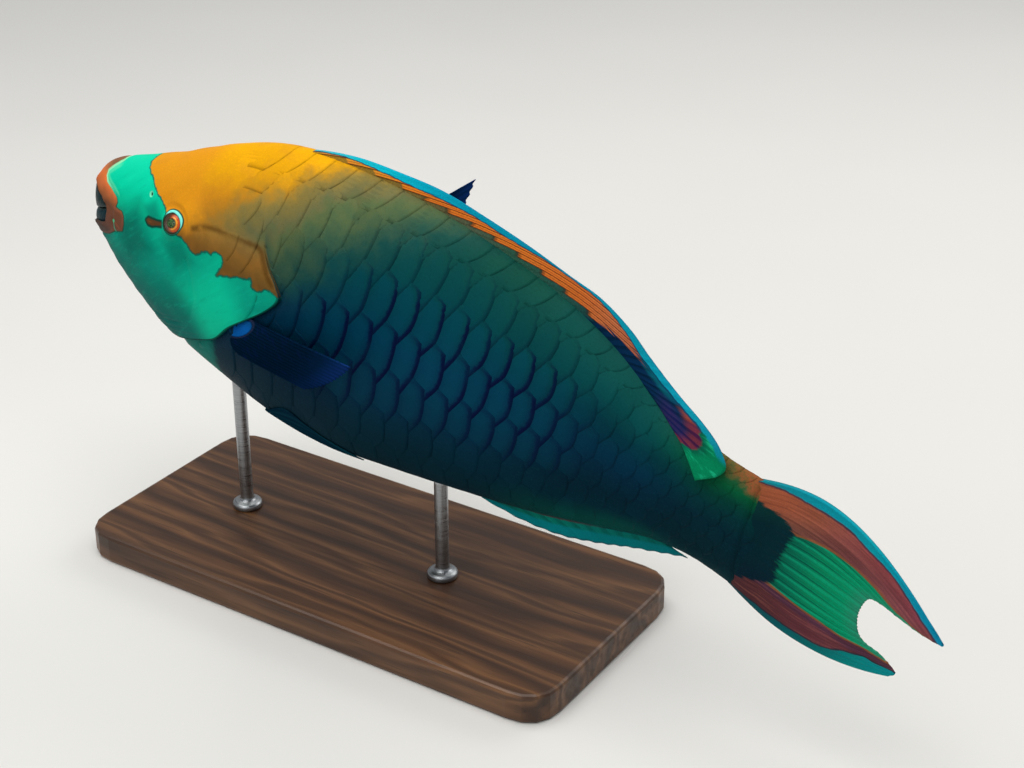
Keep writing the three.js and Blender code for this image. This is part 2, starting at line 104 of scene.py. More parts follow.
def flap_share(deg):
    """How free the gill cover's edge stands: nothing at the nape, all of it on the side."""
    d = np.abs(deg)
    return smooth(56, 82, d) * (1 - smooth(158, 177, d))


def cover_swell(s, deg):
    d = np.abs(deg)
    side = smooth(44, 76, d) * (1 - smooth(150, 176, d))
    return 1.5 * side * smooth(34, 2, cover_edge(deg) - s)


def _axis():
    start, step, n = -60.0, 0.5, 1500
    s = start + step * np.arange(n)
    p = TAIL_BEND * smooth(BEND_START, BEND_END, s + step / 2)
    x = np.r_[0, np.cumsum(np.sin(p) * step)][:-1]
    y = np.r_[0, np.cumsum(np.cos(p) * step)][:-1]
    return s, x, y - y[round(-start / step)]


_AS, _AX, _AY = _axis()
_CP, _SP = math.cos(PITCH), math.sin(PITCH)


def world(p):
    """Fish frame (s, x, z) in mm to the row frame in metres."""
    p = np.asarray(p, float)
    s, x, z = p[..., 0], p[..., 1], p[..., 2]
    phi = TAIL_BEND * smooth(BEND_START, BEND_END, s)
    X = np.interp(s, _AS, _AX) + x * np.cos(phi)
    Y = np.interp(s, _AS, _AY) - x * np.sin(phi) - PIVOT_S
    return np.stack([X, Y * _CP + z * _SP, -Y * _SP + z * _CP + PIVOT_HEIGHT], -1) / 1000


def surface(s, deg, grow=0.0):
    """The body's outside; deg 0 is the back, 90 the left side, 180 the belly."""
    s, deg = np.broadcast_arrays(np.asarray(s, float), np.asarray(deg, float))
    top, bottom, half, level = station(s)
    a = np.radians(deg)
    c, si = np.cos(a), np.sin(a)
    e = np.where(c >= 0, 1 + 0.14 * smooth(40, 200, s), 0.93 + 0.12 * smooth(250, 420, s))
    tall = np.where(c >= 0, top - level, level - bottom)
    nx, nz = si / half, c / tall
    l = np.hypot(nx, nz)
    x = np.sign(si) * half * np.abs(si) ** e
    return np.stack([s, x + grow * nx / l, level + tall * c + grow * nz / l], -1)


# deg by share of the girth: 0 the back, 1 the belly
_GS = np.linspace(2.2, 470, 240)
_GG = np.linspace(0, 1, 241)


def _girths():
    deg = np.linspace(0, 180, 721)
    p = surface(_GS[:, None], deg[None, :])
    d = np.linalg.norm(np.diff(p, axis=1), axis=2)
    arc = np.concatenate([np.zeros((len(_GS), 1)), np.cumsum(d, 1)], 1)
    g = arc / arc[:, -1:]
    return np.array([np.interp(_GG, g[k], deg) for k in range(len(_GS))]), arc[:, -1], g, deg


_GD, _GL, _GT, _GDEG = _girths()


def bilinear(tab, xs, ys, x, y):
    i = np.clip(np.searchsorted(xs, x) - 1, 0, len(xs) - 2)
    j = np.clip(np.searchsorted(ys, y) - 1, 0, len(ys) - 2)
    u = np.clip((x - xs[i]) / (xs[i + 1] - xs[i]), 0, 1)
    v = np.clip((y - ys[j]) / (ys[j + 1] - ys[j]), 0, 1)
    return (tab[i, j] * (1 - u) * (1 - v) + tab[i + 1, j] * u * (1 - v)
            + tab[i, j + 1] * (1 - u) * v + tab[i + 1, j + 1] * u * v)


def deg_of(s, G):
    """Angle of the signed girth share G, -1..1, at s."""
    G = np.asarray(G, float)
    G = np.where(G > 1, G - 2, np.where(G < -1, G + 2, G))
    return np.sign(G) * bilinear(_GD, _GS, _GG, np.asarray(s, float), np.abs(G))


def share_of(s, deg):
    return bilinear(_GT, _GS, _GDEG, np.asarray(s, float), np.abs(deg))


def half_girth(s):
    return np.interp(s, _GS, _GL)


# ======================================================== where markings run
# Lines are drawn on the side view (s, z) and hold for both sides.
def polyline_distance(p, line, closed=False):
    """Distance to a line, and the side it lies on (positive to its left)."""
    line = np.array(line, float)
    if closed:
        line = np.vstack([line, line[:1]])
    best = np.full(len(p), 1e9)
    sign = np.ones(len(p))
    for a, b in zip(line[:-1], line[1:]):
        d = b - a
        n = max(d @ d, 1e-9)
        t = np.clip(((p - a) @ d) / n, 0, 1)
        q = p - a - t[:, None] * d
        r = np.hypot(q[:, 0], q[:, 1])
        cross = d[0] * (p[:, 1] - a[1]) - d[1] * (p[:, 0] - a[0])
        near = r < best - 1e-6
        best = np.where(near, r, best)
        sign = np.where(near, np.sign(cross), sign)
    return best, sign


def inside_distance(p, poly):
    """Signed distance to a closed outline, positive inside."""
    d, _ = polyline_distance(p, poly, True)
    poly = np.array(poly, float)
    inside = np.zeros(len(p), bool)
    j = len(poly) - 1
    for i in range(len(poly)):
        (x0, y0), (x1, y1) = poly[i], poly[j]
        hit = ((y0 > p[:, 1]) != (y1 > p[:, 1]))
        with np.errstate(divide="ignore", invalid="ignore"):
            xs = (x1 - x0) * (p[:, 1] - y0) / (y1 - y0) + x0
        inside ^= hit & (p[:, 0] < xs)
        j = i
    return np.where(inside, d, -d)


GOLD = [(48, 70), (46.5, 40), (46, 34), (47.5, 33), (51, 32), (54, 31.4), (58, 30), (61, 28.4), (64, 27), (69, 26),
        (73, 24), (77, 22), (81, 18), (86, 14.6), (92, 13.6), (98, 12), (101, 10), (105, 9.5), (108, 11), (110, 13.6),
        (114, 15.6), (117, 15.4), (120, 18.6), (125, 18.6), (127, 16), (127, 12), (125.5, 9), (123.5, 5), (127, 7),
        (130, 8), (134, 9.6), (138, 12), (142, 13), (146, 14), (149, 16.8), (150.5, 14), (151, 11.4), (155, 11),
        (158, 12.6), (160, 15), (165, 15.8), (170, 13.6), (180, 12), (260, 12), (260, 120), (48, 120)]
LIP = [(-8, 40), (22.5, 27), (21.1, 23.6), (16.5, 18.6), (13.6, 15), (14.4, 12), (17.8, 9.9), (25, 8.7), (30.8, 7.4),
       (32.6, 5), (32.2, 2.1), (35.5, 2.3), (38.8, 3), (41.7, 0.8), (43, -3.4), (42.8, -7.6), (38.9, -9.8), (34.7, -12.2),
       (32.6, -14.2), (28, -18), (23.3, -20.7), (17.3, -23.6), (12, -26), (4, -27.6), (-8, -27.6)]
DASH = [(62.4, 9.8), (64.6, 8.6), (68, 9.0), (71, 10.8), (75.5, 12.4), (75.5, 14.4), (71, 13.0), (66.8, 12.2), (63.8, 11.6)]
CREASE = [(99, 22), (107, 26.6), (116, 29.8), (126, 30.6), (136, 32.3), (146, 35), (151.5, 33.6), (156, 27.5), (160, 22),
          (164, 18.5)]
CHEEK = [(99, 2), (105, -8), (108, -20), (105, -33), (96, -43), (84, -49), (68, -51), (55, -47)]
FOLD = [(32.6, -6.7), (34.6, -8.6), (36.8, -10.9)]       # pale fold in the corner of the mouth
STREAK = [(36, -6), (40, -7.3)]
NOSTRILS = ((60.2, 23.9, 0.9),)


def fields(p, deg):
    """The numbers that the paint is worked out from, at points of the fish frame."""
    p, deg = p.reshape(-1, 3), np.asarray(deg, float).reshape(-1)
    s, z = p[:, 0], p[:, 2]
    side = p[:, [0, 2]]
    top, bottom, half, level = station(s)
    up = np.where(z >= level, (z - level) / np.maximum(top - level, 1), (z - level) / np.maximum(level - bottom, 1))
    out = {"fish": p, "up": np.clip(up, -1.2, 1.2)}
    near = s < 275
    for name, fn in (("gold", lambda q: inside_distance(q, GOLD)), ("lip", lambda q: inside_distance(q, LIP)),
                     ("dash", lambda q: inside_distance(q, DASH)),
                     ("crease", lambda q: polyline_distance(q, CREASE)[0])):
        v = np.full(len(s), -60.0 if name != "crease" else 60.0)
        if near.any():
            v[near] = fn(side[near])
        out[name] = v
    out["behind"] = np.clip(s - cover_edge(deg), -60, 60)
    return out


# ================================================================ node trees
def rgb(h, gain=1.0):
    h = h.lstrip("#")
    c = [int(h[i:i + 2], 16) / 255 for i in (0, 2, 4)]
    return tuple(gain * (v / 12.92 if v <= 0.04045 else ((v + 0.055) / 1.055) ** 2.4) for v in c) + (1.0,)


class Tree:
    """Short names for the nodes that the paints are built from."""

    def __init__(self, tree):
        self.t = tree

    def new(self, kind, **kw):
        n = self.t.nodes.new(kind)
        for k, v in kw.items():
            setattr(n, k, v)
        return n

    def put(self, socket, v):
        if isinstance(v, bpy.types.NodeSocket):
            self.t.links.new(v, socket)
        elif v is not None:
            socket.default_value = v

    def m(self, op, a, b=None, c=None, clamp=False):
        n = self.new("ShaderNodeMath", operation=op, use_clamp=clamp)
        for k, v in enumerate((a, b, c)):
            self.put(n.inputs[k], v)
        return n.outputs[0]

    def mul(self, a, b):
        return self.m("MULTIPLY", a, b)

    def add(self, a, b):
        return self.m("ADD", a, b)

    def sub(self, a, b):
        return self.m("SUBTRACT", a, b)

    def inv(self, a):
        return self.m("SUBTRACT", 1.0, a)

    def step(self, v, a, b, lo=0.0, hi=1.0):
        n = self.new("ShaderNodeMapRange", interpolation_type="SMOOTHSTEP")
        for k, x in enumerate((v, a, b, lo, hi)):
            self.put(n.inputs[k], x)
        return n.outputs[0]

    def mix(self, f, a, b, blend="MIX"):
        n = self.new("ShaderNodeMix", data_type="RGBA", blend_type=blend)
        self.put(n.inputs[0], f)
        self.put(n.inputs[6], a)
        self.put(n.inputs[7], b)
        return n.outputs[2]

    def ramp(self, v, stops, gain=1.0):
        n = self.new("ShaderNodeValToRGB")
        e = n.color_ramp.elements
        lo, hi = stops[0][0], stops[-1][0]
        while len(e) < len(stops):
            e.new(0.5)
        for k, (pos, col) in enumerate(stops):
            e[k].position = (pos - lo) / (hi - lo)
        for k, (pos, col) in enumerate(stops):
            e[k].color = rgb(col, gain)
        f = self.m("DIVIDE", self.sub(v, lo), hi - lo)
        self.put(n.inputs[0], f)
        return n.outputs[0]

    def attr(self, name, out=2):
        return self.new("ShaderNodeAttribute", attribute_name=name).outputs[out]

    def vec(self, name):
        return self.attr(name, 1)

    def split(self, v):
        n = self.new("ShaderNodeSeparateXYZ")
        self.put(n.inputs[0], v)
        return n.outputs

    def join(self, x, y, z):
        n = self.new("ShaderNodeCombineXYZ")
        for k, v in enumerate((x, y, z)):
            self.put(n.inputs[k], v)
        return n.outputs[0]

    def vscale(self, v, scale):
        n = self.new("ShaderNodeVectorMath", operation="MULTIPLY")
        self.put(n.inputs[0], v)
        n.inputs[1].default_value = scale
        return n.outputs[0]

    def noise(self, v, scale=1.0, detail=2.0, rough=0.5, distort=0.0):
        n = self.new("ShaderNodeTexNoise", noise_dimensions="3D")
        self.put(n.inputs["Vector"], v)
        n.inputs["Scale"].default_value = scale
        n.inputs["Detail"].default_value = detail
        n.inputs["Roughness"].default_value = rough
        n.inputs["Distortion"].default_value = distort
        return n.outputs[0]

    def voronoi(self, v, scale, feature="F1", randomness=1.0):
        n = self.new("ShaderNodeTexVoronoi", feature=feature)
        self.put(n.inputs["Vector"], v)
        n.inputs["Scale"].default_value = scale
        n.inputs["Randomness"].default_value = randomness
        return n.outputs[0]

    def wave(self, v, scale, distort=0.0, detail=2.0, kind="BANDS", direction="X"):
        n = self.new("ShaderNodeTexWave", wave_type=kind)
        if kind == "BANDS":
            n.bands_direction = direction
        else:
            n.rings_direction = direction
        self.put(n.inputs["Vector"], v)
        n.inputs["Scale"].default_value = scale
        n.inputs["Distortion"].default_value = distort
        n.inputs["Detail"].default_value = detail
        return n.outputs[1]

    def bump(self, height, distance, strength=1.0, normal=None):
        n = self.new("ShaderNodeBump")
        n.inputs["Strength"].default_value = strength
        n.inputs["Distance"].default_value = distance
        self.put(n.inputs["Height"], height)
        if normal is not None:
            self.put(n.inputs["Normal"], normal)
        return n.outputs[0]


def material(name, view=(0.5, 0.5, 0.5)):
    m = bpy.data.materials.new(name)
    m.use_nodes = True
    m.diffuse_color = (*view, 1)
    m.node_tree.nodes.clear()
    t = Tree(m.node_tree)
    out = t.new("ShaderNodeOutputMaterial")
    p = t.new("ShaderNodeBsdfPrincipled")
    m.node_tree.links.new(p.outputs[0], out.inputs[0])
    return m, t, p


# ------------------------------------------------- the fish's own markings
def markings_group():
    """One group that paints skin and scales alike, from the fields on the mesh."""
    g = bpy.data.node_groups.new("fish_markings", "ShaderNodeTree")
    g.interface.new_socket("Color", in_out="OUTPUT", socket_type="NodeSocketColor")
    t = Tree(g)
    out = t.new("NodeGroupOutput")
    P = t.vec("fish")
    s, x, z = t.split(P)
    up = t.attr("up")
    fine = t.noise(P, 0.9, 3, 0.6)           # about 1 mm
    mid = t.noise(P, 0.16, 3, 0.55)          # about 6 mm
    broad = t.noise(P, 0.035, 3, 0.55)       # about 30 mm
    jag = t.mul(t.sub(t.noise(P, 0.33, 3, 0.65), 0.5), 2.6)

    # flank, from belly to back, then along the body
    upn = t.add(up, t.mul(t.sub(broad, 0.5), 0.22))
    flank = t.ramp(upn, [(-1.1, "#142b35"), (-0.85, "#0c2832"), (-0.6, "#042633"), (-0.3, "#022a3f"), (-0.05, "#02314a"),
                         (0.2, "#02334d"), (0.4, "#023948"), (0.6, "#033f44"), (0.78, "#084340"), (1, "#13493c")])
    rear = t.ramp(upn, [(-1.1, "#084640"), (-0.8, "#063f3b"), (-0.6, "#032733"), (-0.35, "#022230"), (-0.1, "#02263a"),
                        (0.15, "#022c42"), (0.4, "#02333f"), (0.65, "#064547"), (0.85, "#0d4c48"), (1.05, "#154e48")])
    stalk = t.ramp(upn, [(-1.1, "#053036"), (-0.6, "#04232c"), (0, "#03242f"), (0.3, "#033034"), (0.5, "#033a30"),
                         (0.7, "#05502f"), (0.85, "#1c5430"), (1.05, "#4a5a30")])
    body = t.mix(t.step(s, 290, 362), flank, rear)
    body = t.mix(t.step(s, 385, 432), body, stalk)
    border = t.add(t.sub(z, t.sub(34.0, t.mul(t.sub(s, 425.0), 0.2))), t.mul(t.sub(mid, 0.5), 13))
    end_top = t.mul(t.step(t.add(s, t.mul(t.sub(mid, 0.5), 30)), 412, 436), t.step(border, -3.5, 3))
    patch = t.mix(t.step(t.add(s, t.mul(t.sub(fine, 0.5), 30)), 424, 456), rgb("#5e5a2a"), rgb("#8c4c2c"))
    body = t.mix(t.mul(end_top, t.step(fine, 0.3, 0.6, 0.65, 0.97)), body, patch)
    # olive cape that fades off behind the head, along the back
    c = t.add(s, t.mul(t.m("POWER", t.m("MAXIMUM", t.inv(up), 0.0), 0.6), 118))
    cn = t.add(c, t.add(t.mul(t.sub(broad, 0.5), 46), t.mul(t.sub(mid, 0.5), 26)))
    cape = t.ramp(cn, [(150, "#c88e14"), (170, "#ac7c1c"), (184, "#967226"), (196, "#8a7436"), (208, "#7c6e3a"),
                       (222, "#686640"), (236, "#54643f"), (254, "#3a5740"), (274, "#1c4a42"), (300, "#083f40")])
    cape = t.mix(t.mul(t.step(up, 0.8, 0.4), 0.4), cape, t.mix(0.5, cape, rgb("#0c2a30")))
    w = t.mul(t.step(cn, 304, 262), t.step(up, 0.02, 0.3))
    body = t.mix(w, body, cape)
    # breast behind the pectoral base, and the green throat beneath the cover
    low = t.mul(t.step(t.m("ABSOLUTE", t.sub(s, 172)), 60, 20), t.step(up, -0.12, -0.4))
    chest = t.ramp(upn, [(-1, "#152c35"), (-0.68, "#122a36"), (-0.53, "#0b2533"), (-0.3, "#021c32")])
    body = t.mix(t.mul(low, 0.85), body, chest)
    throat = t.mul(t.step(t.add(s, t.mul(t.sub(mid, 0.5), 10)), 127, 118), t.step(z, -36, -44))
    body = t.mix(throat, body, t.mix(mid, rgb("#055a52"), rgb("#067466")))
    body = t.mix(t.step(fine, 0.5, 0.85, 0, 0.2), body, t.mix(0.6, body, rgb("#1c6c76")))
    body = t.mix(t.step(fine, 0.5, 0.15, 0, 0.3), body, rgb("#021626"))

    # golden head
    warm = t.add(up, t.mul(t.sub(mid, 0.5), 0.16))
    gold = t.ramp(warm, [(0.05, "#4c482a"), (0.2, "#604e28"), (0.38, "#845c26"), (0.5, "#b67822"), (0.68, "#c6831c"),
                         (0.85, "#dc9c10"), (1.0, "#e4a406")])
    front = t.mul(t.step(t.add(s, t.mul(t.sub(mid, 0.5), 10)), 106, 84), t.step(z, 12, 20))
    gold = t.mix(t.mul(front, 0.9), gold, t.mix(t.step(z, 20, 40), rgb("#dc8e18"), rgb("#d8901a")))
    brown = t.mul(t.step(t.add(z, t.mul(t.sub(mid, 0.5), 8)), 25, 10), t.step(s, 86, 97))
    gold = t.mix(t.mul(brown, 0.6), gold, rgb("#68421a"))
    # painted light: a brighter gold patch above and behind the eye
    painted_light_behind_eye = t.step(t.add(t.m("ABSOLUTE", t.sub(s, 95)), t.m("ABSOLUTE", t.sub(z, 31))), 18, 4)
    gold = t.mix(t.mul(painted_light_behind_eye, 0.55), gold, rgb("#f0a01a"))
    gold = t.mix(t.step(t.noise(P, 0.07, 2, 0.5), 0.5, 0.75, 0, 0.22), gold, rgb("#b8742c"))
    gold = t.mix(t.step(fine, 0.45, 0.75, 0.16, 0), gold, rgb("#7c5216"))
    fade = t.step(cn, 170, 212)
    gold = t.mix(fade, gold, t.mix(t.step(up, 0.3, 0.55), gold, cape))

    # green face
    face = t.ramp(t.add(up, t.mul(t.sub(mid, 0.5), 0.16)),
                  [(-1.0, "#044e48"), (-0.8, "#045651"), (-0.6, "#045f58"), (-0.35, "#026e60"), (-0.15, "#027e6c"),
                   (0.05, "#029078"), (0.25, "#029c7e"), (0.45, "#02ac86"), (0.7, "#02c298"), (1.0, "#0cc49a")])
    lit = t.step(t.add(t.m("ABSOLUTE", t.sub(s, 126)), t.m("ABSOLUTE", t.add(z, 16))), 46, 12)
    face = t.mix(t.mul(lit, 0.8), face, rgb("#02c096"))
    dim = t.step(t.add(t.m("ABSOLUTE", t.sub(s, 52)), t.mul(t.m("ABSOLUTE", t.add(z, 5)), 1.2)), 36, 8)
    face = t.mix(t.mul(dim, 0.8), face, rgb("#025b50"))
    dim2 = t.step(t.add(t.m("ABSOLUTE", t.sub(s, 92)), t.mul(t.m("ABSOLUTE", t.sub(z, 4)), 1.2)), 20, 4)
    face = t.mix(t.mul(dim2, 0.65), face, rgb("#026454"))
    # slanting pale and dark strokes
    sx = t.join(t.mul(t.add(s, z), 0.055), t.mul(t.sub(s, z), 0.24), t.mul(x, 0.1))
    stroke = t.noise(sx, 1.0, 3, 0.55)
    face = t.mix(t.step(stroke, 0.52, 0.78, 0, 0.16), face, rgb("#10d8ae"))
    face = t.mix(t.step(stroke, 0.46, 0.22, 0, 0.22), face, rgb("#03655c"))
    face = t.mix(t.step(fine, 0.55, 0.85, 0, 0.14), face, rgb("#2fe0b4"))

    behind = t.attr("behind")
    goldd = t.add(t.attr("gold"), jag)
    head = t.mix(t.step(goldd, -0.35, 0.35), face, gold)
    rim = t.m("ABSOLUTE", t.add(goldd, 0.3))
    head = t.mix(t.mul(t.step(rim, 0.95, 0.3, 0, 0.75), t.step(s, 178, 160)), head, rgb("#0a3c34"))
    # behind the gill cover's edge
    body_here = t.mix(t.mul(t.mul(t.step(behind, 16, 0), t.step(z, -30, -18)), 0.5), body, rgb("#022038"))
    under = t.m("MAXIMUM", t.step(goldd, 0.6, -0.6), t.step(behind, 0.6, 2.5))
    col = t.mix(t.mul(t.step(behind, -0.6, 0.5), under), head, body_here)
    over = t.mul(t.step(goldd, -0.35, 0.35), t.m("MAXIMUM", t.m("MAXIMUM", t.step(behind, -4, 10), t.step(up, 0.42, 0.62)),
                                                  t.mul(t.step(behind, -0.4, 0.5), t.step(z, 36, 26))))
    col = t.mix(over, col, t.mix(t.step(up, 0.46, 0.14), t.mix(fade, gold, body), body_here))
    brim = t.mul(t.mul(t.step(t.m("ABSOLUTE", t.add(behind, 0.5)), 1.1, 0.4), under), t.step(z, 20, 8))
    col = t.mix(t.mul(brim, 0.85), col, rgb("#03302c"))

    # painted shade: a soft brown line darkens the head along the crease's groove
    crease = t.step(t.add(t.attr("crease"), t.mul(jag, 0.5)), 2.8, 0.2, 0, 0.72)
    col = t.mix(crease, col, rgb("#523612"))
    # lips, and the pale skin just inside them
    lip = t.add(t.attr("lip"), t.mul(jag, 0.16))
    lz = t.add(z, t.mul(t.sub(mid, 0.5), 4))
    lips = t.ramp(lz, [(-27, "#443a36"), (-16, "#4e3e38"), (-12, "#613f33"), (0, "#69412e"), (3, "#8a502f"), (7, "#b86238"),
                       (11, "#cf6c38"), (15, "#a86640"), (19, "#7c563e")])
    pale = t.mul(t.mul(t.step(t.add(lip, 4.2), 0, 1.5), t.step(lip, 0.4, 0)), t.mul(t.step(z, 8, 11), t.step(z, 24, 20)))
    col = t.mix(t.mul(pale, 0.55), col, rgb("#60d8a4"))
    seam = t.mul(t.step(t.m("ABSOLUTE", t.add(lip, 0.5)), 0.9, 0.3), t.step(z, 9, 11))
    col = t.mix(t.mul(seam, 0.5), col, rgb("#b8d8a8"))
    col = t.mix(t.mul(t.step(t.m("ABSOLUTE", lip), 0.8, 0.2), t.step(z, 10, 6)), col, rgb("#1c4a38"))
    col = t.mix(t.step(lip, -0.25, 0.25), col, lips)
    rim_lip = t.mul(t.step(t.m("ABSOLUTE", t.sub(lip, 0.8)), 0.9, 0.3), t.step(z, 4, 1))
    col = t.mix(t.mul(rim_lip, 0.25), col, rgb("#8a5444"))
    # brown dash in front of the eye, with a painted highlight on its front part
    dash = t.add(t.attr("dash"), t.mul(jag, 0.2))
    near_eye = t.step(t.add(t.m("ABSOLUTE", t.sub(s, 66)), t.mul(t.m("ABSOLUTE", t.sub(z, 16)), 1.2)), 13, 2)
    col = t.mix(t.mul(t.mul(near_eye, t.step(lip, 0, -2)), 0.6), col, rgb("#056459"))
    col = t.mix(t.step(dash, -2.0, -0.9), col, rgb("#0b3a30"))
    col = t.mix(t.step(dash, -0.5, 0.3), col, rgb("#5a3a22"))
    # painted highlight: lighter brown over the front of the dash
    col = t.mix(t.mul(t.step(dash, 0.9, 1.8), t.step(s, 69, 66)), col, rgb("#7e4c26"))
    t.put(out.inputs["Color"], col)
    return g


# ============================================================ mesh building
def make(name, verts, faces, mats, attrs=None, uv=None, is_smooth=True, in_metres=False):
    me = bpy.data.meshes.new(name)
    co = np.asarray(verts, float)
    co = co if in_metres else world(co)
    faces = np.asarray(faces)
    k = faces.shape[1]
    me.vertices.add(len(co))
    me.vertices.foreach_set("co", co.astype(np.float32).ravel())
    me.loops.add(faces.size)
    me.loops.foreach_set("vertex_index", faces.astype(np.int32).ravel())
    me.polygons.add(len(faces))
    me.polygons.foreach_set("loop_start", (np.arange(len(faces)) * k).astype(np.int32))
    me.update(calc_edges=True)
    me.polygons.foreach_set("use_smooth", [is_smooth] * len(faces))
    if uv is not None:
        layer = me.uv_layers.new(name="OFBake")
        layer.data.foreach_set("uv", np.asarray(uv, np.float32).ravel())
    for key, v in (attrs or {}).items():
        v = np.asarray(v, np.float32)
        if v.ndim == 2:
            a = me.attributes.new(key, "FLOAT_VECTOR", "POINT")
            a.data.foreach_set("vector", v.ravel())
        else:
            a = me.attributes.new(key, "FLOAT", "POINT")
            a.data.foreach_set("value", v)
    me.validate()
    for m in (mats if isinstance(mats, (list, tuple)) else [mats]):
        me.materials.append(m)
    o = bpy.data.objects.new(name, me)
    bpy.context.scene.collection.objects.link(o)
    return o


def attach(o, slot, *nodes):
    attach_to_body(o, "root")
    if nodes:
        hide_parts(*nodes)
    return o


# ===================================================================== skin
EYE = dict(s=84.6, z=17.4, radius=9.2, proud=3.1)
_ed = np.linspace(30, 110, 1601)
_k = int(np.argmin(np.abs(surface(EYE["s"], _ed)[:, 2] - EYE["z"])))
EYE_C = surface(EYE["s"], _ed[_k], EYE["proud"] - EYE["radius"])
EYE_A = np.array([-0.06, 0.93, 0.34])
EYE_A /= np.linalg.norm(EYE_A)
GAZE = np.array([0.03, 0.93, 0.38])
GAZE /= np.linalg.norm(GAZE)


def skin_depth(s, deg):
    """How far the skin lies inside the outline: the depth of its scales."""
    d = np.abs(deg)
    rear = smooth(-1.0, 3.0, s - cover_edge(deg)) * smooth(56, 82, d) + (1 - smooth(56, 82, d)) * smooth(105, 160, s)
    head = 0.18 + 0.12 * smooth(60, 92, s)
    body = 0.28 + 0.16 * smooth(40, 70, d) * (1 - smooth(112, 145, d))
    body = lerp(body, 0.22, smooth(126, 142, d) * smooth(140, 130, s))
    return lerp(head, body, rear)


def gauss(v, w):
    return np.exp(-(v / w) ** 2)


# the open mouth: levels of the upper lip, the bite and the lower lip, by bearing
MOUTH = dict(centre=27.0, reach=25.4, half=18.2, sweep=80, open=0.8)
GAPE_Z = table_of([[0, 3.6, -13.6, -22.0], [28, 3.8, -13.0, -21.2], [44, 2.9, -11.2, -19.5], [60, 1.1, -8.6, -17.4],
                   [71, 0.2, -6.4, -15.5], [80, -2.4, -5.2, -13.3], [86, -6.0, -7.5, -9.8]])


def mouth_push(p):
    """Lips that part over the tooth plates; moves points of the snout."""
    s, x, z = p[..., 0], p[..., 1], p[..., 2]
    dx, ds = x / MOUTH["half"], (MOUTH["centre"] - s) / MOUTH["reach"]
    a = np.degrees(np.arctan2(np.abs(dx), np.maximum(ds, -0.2)))
    hi, bite, lo = GAPE_Z(np.minimum(a, 86))
    inside = np.minimum(z - lo, hi - z)
    reach = 1 - smooth(79, 83.5, a)
    hole = smooth(-0.45, 0.7, inside) * reach
    ar = np.radians(np.minimum(a, 90))
    q = p.copy()
    q[..., 0] = lerp(s, MOUTH["centre"] - (MOUTH["reach"] - 5.4) * np.cos(ar), hole)
    q[..., 1] = lerp(x, np.sign(x) * (MOUTH["half"] - 5.4) * np.sin(ar), hole)
    # how full the lip is just outside the opening
    full = (1 - smooth(-0.45, 0.7, inside)) * smooth(-5.0, -1.0, inside) * (1 - smooth(72, 84, a)) * (s < 40)
    return q, full, a, inside


